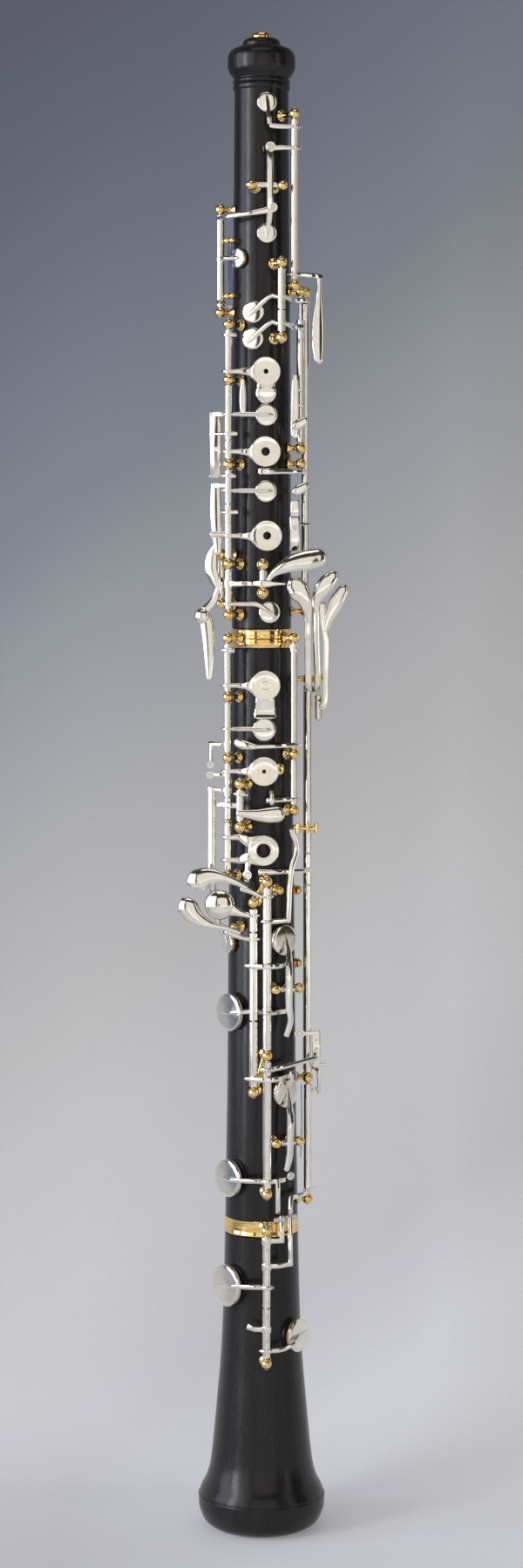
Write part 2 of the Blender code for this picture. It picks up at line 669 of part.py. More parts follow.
def little_finger_levers():
    """G sharp, low B, low B flat and left F levers of the left hand's little finger."""
    line = "g_sharp_lever"
    key("g_sharp_lever", line, 383.2, 389.6, [
        strip([(-9.6, -16.0, 384.4), (-5.0, -17.9, 384.4), on(line, 384.4), (9.2, -19.0, 384.4)], ARM_WIDTH),
        touch([(2.2, -18.9, 384.9), (6.9, -19.2, 389.4), (11.0, -19.0, 391.4), (15.0, -18.6, 392.8),
               (20.5, -17.8, 394.0), (24.2, -17.0, 394.2)], [1.8, 3.2, 5.4, 7.2, 8.6, 8.2]),
    ])
    line = "side_trill"
    key("side_trill_key", line, 378.9, 393.5, [
        strip([on(line, 386.0), (-18.6, -10.6, 386.4)], 3.0, facing=(0, 0, 1)),
        touch([(-18.0, -10.8, 382.5), (-18.8, -10.8, 387.0), (-19.6, -10.8, 392.0)], [3.4, 5.6, 5.2]),
        touch([(-17.8, -10.8, 384.0), (-19.2, -11.4, 378.0), (-22.2, -11.8, 372.6)], [2.4, 2.6, 5.4]),
        touch([(-21.6, -11.6, 374.0), (-20.9, -11.6, 362.0), (-20.7, -11.6, 348.5)], [2.4, 4.4, 3.2]),
    ])
    line = "low_b"
    pieces = [
        barrel(line, 276.3, 343.7), rod(on(line, 262.0), on(line, 277.5), ROD_RADIUS),
        barrel(line, 187.0, 263.0),
        strip([on(line, 341.5), (18.7, -6.4, 344.0), (18.5, -9.0, 354.0), (18.4, -11.6, 370.0)],
              [2.6, 2.6, 2.8, 2.8], BLADE_THICKNESS, (0, -1, 0)),
        touch([(18.4, -11.6, 369.0), (18.0, -12.4, 376.5), (16.0, -12.8, 380.6), (14.2, -12.9, 383.0)],
              [2.8, 4.2, 7.6, 8.4]),
        strip([(15.2, -4.9, 203.0), (23.2, -4.9, 203.0)], ARM_WIDTH, facing=(0, -1, 0)),
        strip([(22.2, -4.9, 204.0), (22.2, -4.9, 189.4)], 3.2, facing=(0, -1, 0)),
        strip([(20.8, -4.9, 190.2), (26.4, -4.9, 190.2)], 1.6, facing=(0, -1, 0)),
    ]
    place("low_b_lever", combine(pieces), SILVER, on(line, 300.0))
    key("d_link_key", line, 263.4, 275.9, [
        strip([on(line, 269.5), (17.3, -8.2, 269.5), (12.0, -12.4, 269.5), (6.0, -15.1, 269.5),
               (-1.2, -15.9, 269.5)], ARM_WIDTH),
    ])
    line = "low_b_flat"
    key("low_b_flat_lever", line, 187.0, 343.7, [
        strip([on(line, 342.2), (22.0, -1.8, 342.4), (22.7, -4.0, 346.6), (21.6, -7.2, 376.0)],
              [2.2, 2.2, 2.4, 2.4], BLADE_THICKNESS, (0.7, -0.7, 0)),
        touch([(21.5, -7.2, 374.0), (22.4, -7.6, 380.6), (26.0, -7.6, 384.6), (28.4, -7.4, 386.9)],
              [2.4, 4.6, 6.4, 5.6]),
        strip([on(line, 188.4), (21.8, 0.9, 188.4), (23.2, -1.4, 187.0), (23.2, -1.6, 178.2)],
              ARM_WIDTH, ARM_THICKNESS, (0.94, 0.34, 0)),
    ])
    line = "left_f"
    key("left_f_lever", line, 330.0, 339.6, [
        strip([on(line, 337.4), (25.6, -2.6, 337.6)], 2.2, facing=(0, 0, 1)),
        strip([(25.8, -2.8, 336.6), (25.8, -3.4, 350.0), (25.9, -4.2, 364.0), (24.4, -4.6, 374.0),
               (24.2, -4.6, 377.6)], [2.4, 2.4, 2.6, 3.0, 3.0], BLADE_THICKNESS, (0, -1, 0)),
        touch([(26.4, -4.2, 367.0), (28.6, -4.2, 373.6), (31.66, -4.0, 380.2)], [2.6, 5.2, 4.8]),
    ])
    line = "low_b"
    key("bell_link_lever", line, 137.4, 182.1, [
        strip([on(line, 179.3), (21.4, 1.0, 179.3), (23.8, 1.3, 179.3)], 1.8, 1.6, (0, 0, 1)),
        strip([(21.8, -1.0, 138.8), on(line, 138.8), (17.6, -8.8, 138.4), (12.2, -14.3, 137.7)], ARM_WIDTH),
        strip([(11.8, -15.0, 138.6), (11.6, -16.2, 134.0), (11.6, -16.2, 129.6)], 2.2),
    ])


# ---------------------------------------------------------------- keys of the lower joint
def lower_stack_keys():
    """Right hand finger plates, the vents between them and the side F cup."""
    line = "lower_stack"
    outer = (-20.4, -11.6)
    tail = strip([(1.4, -15.0, 340.4), (1.4, -15.0, 332.0)], 8.2, PLATE_HEIGHT, (0, -1, 0))
    finger_key("f_sharp_key", line, 341.9, 360.3, "f_sharp_plate", 0.0, [tail])
    vent_key("third_vent_key", line, 317.6, 336.9, "third_vent", [
        strip([on(line, 320.6), (*outer, 320.6)], 1.8),
        strip([(*outer, 321.5), (*outer, 311.8)], 1.8),
    ])
    finger_key("e_key", line, 304.3, 312.7, "e_plate", 0.8, [
        strip([on(line, 308.3), (-21.6, -11.6, 308.3)], ARM_WIDTH),
    ])
    key("side_f_key", line, 299.7, 303.8, [
        strip([on(line, 302.0), (-19.9, -11.4, 302.4)], ARM_WIDTH),
        strip([(-19.9, -11.4, 303.4), (-19.9, -11.4, 269.0), (-18.6, -10.4, 256.0), (-16.6, -9.2, 246.0),
               cup_top("side_f")], ARM_WIDTH),
        cup("side_f"),
    ])
    key("d_key", line, 270.5, 299.2, [
        strip([on(line, 283.3), at(-8.0, 16.8, 283.2), at(-4.2, 15.8, 281.6)], [ARM_WIDTH, 2.2, 2.6]),
        strip([on(line, 274.2), at(-8.0, 16.8, 274.4), at(-4.2, 15.8, 275.4)], [ARM_WIDTH, 2.2, 2.6]),
        cup("d_ring", PLATE_HEIGHT, 2.7),
        strip([at(-5.4, 16.4, 274.6), at(-5.8, 17.4, 270.0), at(-5.8, 17.8, 265.6)], ARM_WIDTH),
    ])


def right_side_keys():
    """Forked F key, its bridge to the F touch, and the F touch itself."""
    line = "fork"
    key("fork_f_key", line, 319.0, 360.3, [
        strip([(16.4, -9.0, 320.2), on(line, 320.2), at(8.0, 17.2, 320.0), at(0.0, 17.0, 319.9),
               at(-7.0, 17.2, 320.4)], 1.8),
        touch([at(-5.0, 17.1, 320.2), at(-8.4, 17.3, 320.6)], [1.8, 2.8]),
    ])
    key("bridge_key", line, 296.4, 314.1, [
        strip([on(line, 298.4), at(8.0, 16.7, 298.4), at(2.1, 16.4, 298.2)], ARM_WIDTH),
        strip([at(4.0, 17.0, 300.8), at(4.0, 17.0, 296.9)], 1.6, 1.6),
    ])
    line = "banana"
    key("banana_key", line, 290.3, 302.6, [
        touch([on(line, 292.8), (-3.0, -19.0, 292.6), (3.0, -19.0, 292.8), (6.8, -18.6, 292.8)],
              [2.4, 4.6, 6.2, 6.2]),
        strip([on(line, 296.4), (-13.2, -17.7, 296.4), (-17.4, -15.0, 296.4)], ARM_WIDTH),
    ])


def foot_joint_keys():
    """Low C, C sharp, E flat and low B keys with their two rocking cups."""
    line = "low_c"
    left = [on(line, 213.6), (0.6, -17.8, 213.6), at(-3.4, 16.9, 213.6), at(-9.0, 18.0, 213.2),
            cup_top("c_cup")]
    key("low_c_key", line, 198.8, 263.7, [
        strip(left, 2.4), cup("c_cup"),
        strip([on(line, 213.4), (5.8, -17.4, 213.4), at(9.9, 16.9, 213.4)], ARM_WIDTH),
        strip([on(line, 250.3), (7.0, -19.0, 250.3), (11.0, -16.4, 250.6)], ARM_WIDTH),
        strip([(10.6, -16.8, 249.6), (11.2, -16.8, 264.0), (12.0, -16.8, 272.0), (14.0, -15.6, 278.0),
               (13.4, -16.0, 282.0), (11.8, -16.8, 286.6)], [2.4, 2.4, 2.2, 2.4, 2.4, 2.2]),
        strip([on(line, 260.2), (-3.2, -21.8, 262.0), (-10.0, -21.2, 264.0)], ARM_WIDTH),
        touch([(-9.0, -21.2, 263.7), (-15.0, -20.6, 265.6), (-19.6, -20.2, 266.8), (-25.0, -19.8, 266.4)],
              [2.1, 5.4, 7.6, 9.2]),
    ], STACK_BARREL_RADIUS)
    line = "c_sharp"
    over_stack = [(2.8, -23.9, 187.1), (7.2, -20.9, 187.1), (8.6, -16.4, 187.1), (12.4, -11.4, 187.2)]
    pieces = [
        barrel(line, 246.3, 255.2, STACK_BARREL_RADIUS),
        rod(on(line, 209.0), on(line, 247.5), ROD_RADIUS),
        barrel(line, 184.0, 210.1, STACK_BARREL_RADIUS),
        strip([on(line, 252.8), (-8.0, -20.6, 253.6), (-12.0, -20.4, 255.0)], ARM_WIDTH),
        touch([(-10.5, -20.4, 254.5), (-14.4, -20.0, 255.8), (-17.4, -19.8, 256.7)], [2.6, 9.4, 11.2]),
        strip([(-6.3, -20.1, 187.1), (-3.2, -22.1, 187.1)] + over_stack, ARM_WIDTH),
    ]
    place("c_sharp_key", combine(pieces), SILVER, on(line, 220.0))
    key("e_flat_key", line, 210.6, 245.8, [
        strip([on(line, 243.2), (-12.0, -20.4, 245.6), (-19.0, -19.9, 247.6)], ARM_WIDTH),
        touch([(-17.6, -19.9, 247.2), (-23.0, -19.6, 248.8), (-27.6, -19.2, 251.2), (-30.8, -18.8, 254.6)],
              [2.4, 5.2, 7.0, 6.6]),
        strip([(-6.3, -20.1, 232.5), (-3.2, -22.1, 232.5), (2.8, -23.9, 232.5), (7.4, -20.7, 232.5),
               (9.3, -15.6, 232.5)], ARM_WIDTH),
    ], STACK_BARREL_RADIUS)
    line = "low_c"
    key("low_b_key", line, 142.9, 194.0, [
        strip([on(line, 145.6), (-4.0, -20.0, 145.6), at(-9.5, 19.4, 145.3), cup_top("b_cup")], 2.4),
        cup("b_cup"),
        strip([on(line, 145.4), (6.0, -18.5, 145.4), at(9.5, 18.1, 145.4)], ARM_WIDTH),
        strip([(6.4, -18.8, 146.0), (6.5, -19.2, 142.0), (6.5, -19.3, 132.7)], 2.0),
        strip([on(line, 190.9), (8.0, -19.2, 191.5), (15.0, -13.8, 192.5), (22.5, -8.6, 193.6)], ARM_WIDTH),
    ], STACK_BARREL_RADIUS)
    cross_key("e_flat_cup_lever", "e_flat", [
        strip([cup_top("e_flat"), polar(36, 18.8, 236.0), polar(32, 20.9, 230.5), polar(31.5, 20.9, 216.0),
               polar(34, 20.7, 209.6), polar(29, 20.2, 203.9)], 2.4),
        cup("e_flat"),
    ])
    cross_key("c_sharp_cup_lever", "c_sharp", [
        strip([polar(38, 19.5, 189.2), polar(38.5, 19.4, 185.4), polar(39, 17.6, 182.8),
               cup_top("c_sharp"), polar(37, 18.8, 174.0), polar(33.5, 21.3, 168.5),
               polar(32, 21.3, 154.0), polar(27, 20.9, 148.6)], 2.4),
        cup("c_sharp"),
    ])


def bell_keys():
    """Low B flat key and the vent key beside it on the bell."""
    line = "bell"
    key("bell_b_flat_key", line, 94.8, 123.6, [
        strip([on(line, 103.0), (-4.5, -21.6, 103.0), at(-10.6, 20.6, 102.4), cup_top("bell_b_flat")], 2.6),
        cup("bell_b_flat"),
        strip([on(line, 121.8), (8.1, -21.2, 121.8)], ARM_WIDTH),
        strip([at(8.1, 22.7, 120.8), at(8.0, 22.7, 131.6)], 2.0),
        strip([on(line, 111.6), (7.0, -21.6, 111.6), at(12.0, 22.0, 111.8)], ARM_WIDTH),
        strip([at(11.6, 22.0, 111.0), at(11.4, 22.0, 130.6)], 2.0),
    ])
    key("bell_vent_key", line, 74.4, 94.4, [
        strip([on(line, 86.0), (-5.5, -21.6, 86.6)], ARM_WIDTH),
        strip([on(line, 77.2), (8.0, -21.5, 77.5), (13.2, -18.0, 79.0), cup_top("bell_vent")], ARM_WIDTH),
        cup("bell_vent"),
    ])


# ---------------------------------------------------------------- build
for leftover in list(bpy.data.objects):
    bpy.data.objects.remove(leftover)
root = bpy.data.objects.new("oboe", None)
bpy.context.collection.objects.link(root)
WOOD = material("grenadilla", (0.018, 0.015, 0.013), 0.0, 0.38)
GOLD = material("gold_plate", (0.83, 0.55, 0.18), 1.0, 0.18)
SILVER = material("silver_plate", (0.86, 0.84, 0.79), 1.0, 0.16)
wooden_joints()
gold_rings()
thumb_rest()
all_posts()
octave_keys()
trill_keys()
upper_stack_keys()
little_finger_levers()
lower_stack_keys()
right_side_keys()
foot_joint_keys()
bell_keys()
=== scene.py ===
import json
import math

import bpy
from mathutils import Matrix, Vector


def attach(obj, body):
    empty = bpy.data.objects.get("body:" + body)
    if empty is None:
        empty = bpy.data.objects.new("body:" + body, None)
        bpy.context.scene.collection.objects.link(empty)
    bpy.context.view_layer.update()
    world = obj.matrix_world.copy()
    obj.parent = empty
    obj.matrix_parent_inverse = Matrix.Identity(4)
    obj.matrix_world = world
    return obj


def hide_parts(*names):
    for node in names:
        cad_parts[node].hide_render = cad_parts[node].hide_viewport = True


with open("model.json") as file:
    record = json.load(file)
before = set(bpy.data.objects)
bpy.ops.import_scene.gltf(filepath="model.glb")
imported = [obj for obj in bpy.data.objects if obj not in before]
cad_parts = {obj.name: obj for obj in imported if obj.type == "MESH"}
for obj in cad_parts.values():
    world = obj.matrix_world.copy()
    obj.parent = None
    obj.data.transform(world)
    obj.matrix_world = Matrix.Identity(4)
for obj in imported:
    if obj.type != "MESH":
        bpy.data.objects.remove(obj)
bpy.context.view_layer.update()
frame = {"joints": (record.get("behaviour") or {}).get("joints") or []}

# Lengths are millimetres in the CAD's own frame and become metres when a piece is made.
MM = 0.001
SILVER, GOLD, PAD, CORK, STEEL, BLUED, WOOD, HOLE_SHADE, PALE = range(9)

BARREL_RADIUS = 1.6
STACK_RADIUS = 1.75
CLOSED, OPEN, HALF = 0.4, 1.9, 1.3
SEAM, BELL_SEAM = 362.5, 124.8

BELL_OUTLINE = [
    (0.0, 20.0), (0.7, 21.3), (1.6, 22.6), (3.0, 23.8), (4.6, 24.6), (6.6, 25.3), (8.6, 25.7),
    (11.2, 25.8), (12.9, 25.8), (13.15, 25.4), (13.5, 25.35), (14.6, 25.1), (16.5, 24.3), (18.8, 23.05),
    (21.2, 22.1), (25.8, 20.95), (32.0, 20.15), (39.8, 19.35), (53.5, 18.1), (69.8, 16.7),
    (90.8, 15.65), (121.2, 14.9),
]
LOWER_OUTLINE = [(128.3, 14.75), (161.7, 14.25), (183.1, 13.9), (233.0, 13.5), (300.0, 12.75), (358.3, 12.1)]
UPPER_OUTLINE = [
    (366.7, 11.95), (478.2, 11.5), (577.4, 10.75), (579.4, 10.8), (579.9, 11.15), (580.8, 11.35),
    (581.6, 11.2), (581.95, 10.8), (582.3, 11.2), (583.0, 11.4), (583.6, 11.2), (584.0, 10.9),
    (584.7, 11.25), (585.9, 12.2), (587.2, 12.95), (588.6, 13.35), (590.4, 13.45), (592.4, 13.4),
    (594.0, 13.0), (595.2, 12.1), (596.0, 10.9), (596.5, 9.4), (596.7, 8.1), (596.95, 7.4),
    (597.6, 7.55), (598.6, 7.4), (599.4, 6.8), (599.9, 5.9),
]

# Pad cups and plates: angle from the front, height, radius, lift over the wood.
VENTS = {
    "side_octave": (9.7, 573.4, 3.9, CLOSED), "rocker": (9.3, 522.4, 3.9, CLOSED),
    "thumb_octave": (-47.0, 513.0, 3.9, CLOSED), "trill_upper": (-14.3, 491.5, 4.3, CLOSED),
    "trill_lower": (-15.1, 481.1, 4.3, CLOSED), "half_hole": (6.9, 468.1, 5.85, OPEN),
    "b_vent": (7.8, 451.1, 4.35, HALF), "a_plate": (6.2, 436.6, 6.1, OPEN),
    "second_vent": (7.0, 421.0, 4.3, HALF), "g_plate": (8.4, 403.4, 6.1, OPEN),
    "g_sharp": (13.5, 373.1, 4.3, CLOSED), "f_sharp_plate": (5.7, 344.0, 6.05, OPEN),
    "third_vent": (4.1, 326.5, 4.6, HALF), "e_plate": (3.7, 309.8, 5.95, OPEN),
    "d_ring": (2.9, 278.2, 6.2, OPEN), "side_f": (-63.0, 240.1, 4.2, CLOSED),
    "e_flat": (37.5, 241.8, 6.1, CLOSED), "c_cup": (-51.0, 212.5, 7.6, OPEN),
    "c_sharp": (39.5, 180.2, 6.1, CLOSED), "b_cup": (-50.5, 145.1, 7.6, OPEN),
    "bell_b_flat": (-51.0, 101.3, 8.5, OPEN), "bell_vent": (53.0, 80.7, 6.7, HALF),
}
AXES = {joint["child"]: Vector(joint["pos_m"]) / MM for joint in frame["joints"]}
CROSS = {joint["child"]: Vector(joint["axis"]) for joint in frame["joints"]}


# ------------------------------------------------------------------ positions
def polar(angle, radius, z):
    turn = math.radians(angle)
    return Vector((radius * math.sin(turn), -radius * math.cos(turn), z))


def at(x, radius, z):
    return Vector((x, -math.sqrt(radius * radius - x * x), z))


def on(key, z):
    """Point on the hinge line of a CAD key."""
    return Vector((AXES[key].x, AXES[key].y, z))


def line_of(key):
    """Angle and distance of a key's hinge line from the bore."""
    p = AXES[key]
    return math.degrees(math.atan2(p.x, -p.y)), math.hypot(p.x, p.y)


def wood_radius(z):
    outline = BELL_OUTLINE + LOWER_OUTLINE + UPPER_OUTLINE
    for (z0, r0), (z1, r1) in zip(outline, outline[1:]):
        if z0 <= z <= z1:
            return r0 + (r1 - r0) * (z - z0) / (z1 - z0)
    return outline[-1][1]


def foot_radius(z):
    if abs(z - SEAM) < 5.0:
        return 12.35
    if abs(z - BELL_SEAM) < 5.0:
        return 15.2
    return wood_radius(z)


def smooth_path(rows, steps):
    """Catmull-Rom curve through rows of equal length."""
    if steps < 2 or len(rows) < 3:
        return [list(row) for row in rows]
    out = []
    for i in range(len(rows) - 1):
        a, b, c, d = (rows[max(i - 1, 0)], rows[i], rows[i + 1], rows[min(i + 2, len(rows) - 1)])
        for k in range(steps):
            t = k / steps
            out.append([0.5 * (2 * q + (r - p) * t + (2 * p - 5 * q + 4 * r - s) * t * t
                               + (3 * q - p - 3 * r + s) * t ** 3)
                        for p, q, r, s in zip(a, b, c, d)])
    out.append(list(rows[-1]))
    return out


# ------------------------------------------------------------------ mesh builder
class Piece:
    """One visible object: closed shells in millimetres, each with a material."""

    def __init__(self, name):
        self.name = name
        self.points = []
        self.faces = []
        self.slots = []

    def rings(self, rings, slot, loop=False):
        """Shell through rings of points; a ring of one point is a pole."""
        index = []
        for ring in rings:
            index.append(list(range(len(self.points), len(self.points) + len(ring))))
            self.points += ring
        pairs = list(zip(index, index[1:]))
        if loop:
            pairs.append((index[-1], index[0]))
        for low, high in pairs:
            n = max(len(low), len(high))
            for i in range(n):
                j = (i + 1) % n
                if len(low) == 1:
                    face = [low[0], high[j], high[i]]
                elif len(high) == 1:
                    face = [low[i], low[j], high[0]]
                else:
                    face = [low[i], low[j], high[j], high[i]]
                self.faces.append(face)
                self.slots.append(slot)
        if not loop:
            for ring, turn in ((index[0], True), (index[-1], False)):
                if len(ring) > 2:
                    self.faces.append(ring[::-1] if turn else ring)
                    self.slots.append(slot)

    def turned(self, profile, origin, axis, slot=SILVER, segments=32, hollow=False):
        axis = Vector(axis).normalized()
        helper = Vector((1, 0, 0)) if abs(axis.x) < 0.8 else Vector((0, 0, 1))
        side = axis.cross(helper).normalized()
        across = axis.cross(side)
        rings = []
        for radius, height in profile:
            centre = Vector(origin) + axis * height
            if radius <= 0:
                rings.append([centre])
                continue
            rings.append([centre + (side * math.cos(2 * math.pi * i / segments)
                                    + across * math.sin(2 * math.pi * i / segments)) * radius
                          for i in range(segments)])
        self.rings(rings, slot, hollow)

    def tube(self, start, end, radius, slot=SILVER, segments=20, lines=()):
        """Round bar with eased ends and turned grooves at the given distances."""
        start, end = Vector(start), Vector(end)
        length = (end - start).length
        ease = min(0.18, radius * 0.25)
        profile = [(0, 0), (radius - ease, 0), (radius, ease)]
        for mark in sorted(lines):
            profile += [(radius, mark - 0.17), (radius - 0.16, mark - 0.09),
                        (radius - 0.16, mark + 0.09), (radius, mark + 0.17)]
        profile += [(radius, length - ease), (radius - ease, length), (0, length)]
        self.turned(profile, start, end - start, slot, segments)

    def sweep(self, points, widths, thick=1.2, facing=None, slot=SILVER, steps=5, sides=12,
              square=0.6, under=1.0, round_tip=False):
        """Bar with a rounded section along a curve; under flattens its lower side."""
        count = len(points)
        widths = [widths] * count if isinstance(widths, (int, float)) else list(widths)
        thick = [thick] * count if isinstance(thick, (int, float)) else list(thick)
        rows = [[*Vector(p), w, t] for p, w, t in zip(points, widths, thick)]
        rows = smooth_path(rows, steps)
        if round_tip:
            end, base, deep = Vector(rows[-1][:3]), rows[-1][3], rows[-1][4]
            way = (end - Vector(rows[-2][:3])).normalized()
            for share in (0.2, 0.4, 0.58, 0.73, 0.85, 0.93, 0.98):
                left = math.sqrt(1 - share ** 2)
                rows.append([*(end + way * base / 2 * share), base * left, deep * (0.35 + 0.65 * left)])
        centres = [Vector(row[:3]) for row in rows]
        frames = []
        for i, point in enumerate(centres):
            before = point - centres[i - 1] if i else centres[1] - point
            after = centres[i + 1] - point if i + 1 < len(centres) else before
            before, after = before.normalized(), after.normalized()
            along = (before + after).normalized()
            outward = Vector(facing) if facing else Vector((point.x, point.y, 0))
            normal = (outward - along * outward.dot(along)).normalized()
            across = along.cross(normal)
            bend = after - before
            grow = 1 / max(0.6, math.sqrt(max(0.0, (1 + before.dot(after)) / 2)))
            wide = abs(bend.dot(across)) >= abs(bend.dot(normal))
            width = max(rows[i][3], 0.1) * (grow if wide else 1)
            depth = max(rows[i][4], 0.1) * (1 if wide else grow)
            frames.append((point, along, across, normal, width, depth))
        rings = []

        def ring(item, shift, share):
            point, along, across, normal, width, depth = item
            out = []
            for k in range(sides):
                turn = 2 * math.pi * (k + 0.5) / sides
                c, s = math.cos(turn), math.sin(turn)
                x = math.copysign(abs(c) ** square, c) * width / 2 * share
                y = math.copysign(abs(s) ** square, s) * depth / 2 * share
                if y < 0:
                    y *= under
                out.append(point + along * shift + across * x + normal * y)
            return out

        first, last = frames[0], frames[-1]
        cap = min(first[4], first[5]) * 0.3
        rings.append(ring(first, -cap, 0.45))
        rings.append(ring(first, -cap * 0.7, 0.8))
        rings += [ring(item, 0, 1) for item in frames]
        cap = min(last[4], last[5]) * 0.3
        rings.append(ring(last, cap * 0.7, 0.8))
        rings.append(ring(last, cap, 0.45))
        self.rings(rings, slot)

    def arm(self, points, width=2.0, thick=1.2, tip=None, slot=SILVER, stub=3.0, square=0.8):
        """Key arm whose first point is on a hinge line: a spindle shaped collar, then a bar."""
        points = [Vector(p) for p in points]
        axis = points[0]
        way = points[1] - axis
        way.z = 0
        way.normalize()
        count = len(points)
        wide = [width] * count if isinstance(width, (int, float)) else list(width)
        deep = [thick] * count if isinstance(thick, (int, float)) else list(thick)
        radius = BARREL_RADIUS + 0.35
        path = [axis - way * stub, axis - way * 1.6, axis, axis + way * 1.9] + points[1:]
        wide = [0.55, wide[0] * 0.95, wide[0] * 1.12, wide[0]] + wide[1:]
        deep = [0.5, radius * 1.5, radius * 2, radius * 1.3] + deep[1:]
        if tip:
            path.append(Vector(tip))
            wide.append(0.35)
            deep.append(0.35)
        self.sweep(path, wide, deep, slot=slot, square=square)

    def bar(self, points, width=2.0, thick=1.3, facing=None, slot=SILVER):
        """Bar with square corners."""
        self.sweep(points, width, thick, facing, slot, steps=1, square=0.42)

    def touch(self, points, widths, thick=1.7, facing=(0, -1, 0)):
        """Finger touch: a crowned blade with a rounded tip."""
        deep = [1.25 + (thick - 1.25) * min(1.0, w / max(widths)) for w in widths]
        self.sweep(points, widths, deep, facing, steps=6, sides=20, square=0.9, under=0.6, round_tip=True)

    def screw(self, origin, axis, radius=1.15, height=1.1, slot=STEEL, turn=0.4):
        """Slotted screw head: a base disc with two half discs on it."""
        axis = Vector(axis).normalized()
        origin = Vector(origin)
        top = height * 0.35
        self.turned([(0, 0), (radius, 0), (radius, height - top), (0, height - top)],
                    origin, axis, slot, 20)
        helper = Vector((0, 0, 1)) if abs(axis.z) < 0.8 else Vector((1, 0, 0))
        side = axis.cross(helper).normalized()
        across = axis.cross(side)
        side, across = (side * math.cos(turn) + across * math.sin(turn),
                        across * math.cos(turn) - side * math.sin(turn))
        for sign in (1, -1):
            edge = []
            gap = 0.16
            start = math.asin(gap / radius)
            for k in range(11):
                angle = start + (math.pi - 2 * start) * k / 10
                edge.append(side * math.cos(angle) * radius + across * sign * math.sin(angle) * radius)
            if sign < 0:
                edge.reverse()
            low = [origin + p + axis * (height - top - 0.05) for p in edge]
            high = [origin + p * 0.9 + axis * height for p in edge]
            middle = [origin + p + axis * (height - 0.12) for p in edge]
            self.rings([low, middle, high], slot)

    def done(self, body, *nodes, look="silver_plate"):
        mesh = bpy.data.meshes.new(self.name)
        mesh.from_pydata([p * MM for p in self.points], [], self.faces)
        used = sorted(set(self.slots))
        for slot in used:
            mesh.materials.append(LOOKS[slot])
        for face, slot in zip(mesh.polygons, self.slots):
            face.material_index = used.index(slot)
        mesh.validate()
        mesh.shade_smooth()
        mesh.set_sharp_from_angle(angle=math.radians(38))
        item = bpy.data.objects.new(self.name, mesh)
        bpy.context.scene.collection.objects.link(item)
        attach(item, body)
        if nodes:
            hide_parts(*nodes)
        return item


# ------------------------------------------------------------------ materials
class Nodes:
    """Small helper round a material's node tree."""

    def __init__(self, name):
        self.material = bpy.data.materials.new(name)
        self.material.use_nodes = True
        self.tree = self.material.node_tree
        self.shader = self.tree.nodes["Principled BSDF"]
        self.place = self.add("ShaderNodeTexCoord").outputs["Object"]

    def add(self, kind, **values):
        node = self.tree.nodes.new(kind)
        for key, value in values.items():
            if hasattr(node, key):
                setattr(node, key, value)
            else:
                node.inputs[key.replace("_", " ")].default_value = value
        return node

    def link(self, a, b):
        self.tree.links.new(a, b)

    def stretched(self, scale):
        node = self.add("ShaderNodeMapping")
        node.inputs["Scale"].default_value = scale
        self.link(self.place, node.inputs["Vector"])
        return node.outputs["Vector"]

    def noise(self, scale, detail=3.0, vector=None, rough=0.5):
        node = self.add("ShaderNodeTexNoise")
        node.inputs["Scale"].default_value = scale
        node.inputs["Detail"].default_value = detail
        node.inputs["Roughness"].default_value = rough
        self.link(vector or self.place, node.inputs["Vector"])
        return node.outputs["Fac"]

    def ramp(self, source, stops):
        node = self.add("ShaderNodeValToRGB")
        elements = node.color_ramp.elements
        while len(elements) < len(stops):
            elements.new(0.5)
        for element, (where, colour) in zip(elements, stops):
            element.position = where
            element.color = (*colour, 1.0) if isinstance(colour, tuple) else (colour, colour, colour, 1.0)
        self.link(source, node.inputs["Fac"])
        return node.outputs["Color"]

    def mix(self, a, b, share, blend="MIX"):
        node = self.add("ShaderNodeMix", data_type="RGBA", blend_type=blend)
        if isinstance(share, float):
            node.inputs["Factor"].default_value = share
        else:
            self.link(share, node.inputs["Factor"])
        self.link(a, node.inputs["A"])
        self.link(b, node.inputs["B"])
        return node.outputs["Result"]

    def bump(self, source, strength, distance=0.0002, below=None):
        node = self.add("ShaderNodeBump")
        node.inputs["Strength"].default_value = strength
        node.inputs["Distance"].default_value = distance
        self.link(source, node.inputs["Height"])
        if below:
            self.link(below, node.inputs["Normal"])
        return node.outputs["Normal"]

    def finish(self, colour=None, rough=None, normal=None, **values):
        for name, value in values.items():
            self.shader.inputs[name.replace("_", " ")].default_value = value
        for source, name in ((colour, "Base Color"), (rough, "Roughness"), (normal, "Normal")):
            if source:
                self.link(source, self.shader.inputs[name])
        return self.material


def plated(name, bright, dull, low, high):
    """Polished plated metal: cloudy tarnish, uneven polish and fine scratches."""
    m = Nodes(name)
    clouds = m.ramp(m.noise(230.0, 5.0, rough=0.6), [(0.36, bright), (0.70, dull)])
    smears = m.ramp(m.noise(700.0, 5.0, m.stretched((1.0, 1.0, 0.35))), [(0.3, low), (0.75, high)])
    marks = m.bump(m.noise(5200.0, 2.0, m.stretched((1.0, 1.0, 0.12))), 0.02, 0.00002)
    waves = m.bump(m.noise(260.0, 1.0), 0.02, 0.00005, marks)
    return m.finish(clouds, smears, waves, Metallic=1.0)


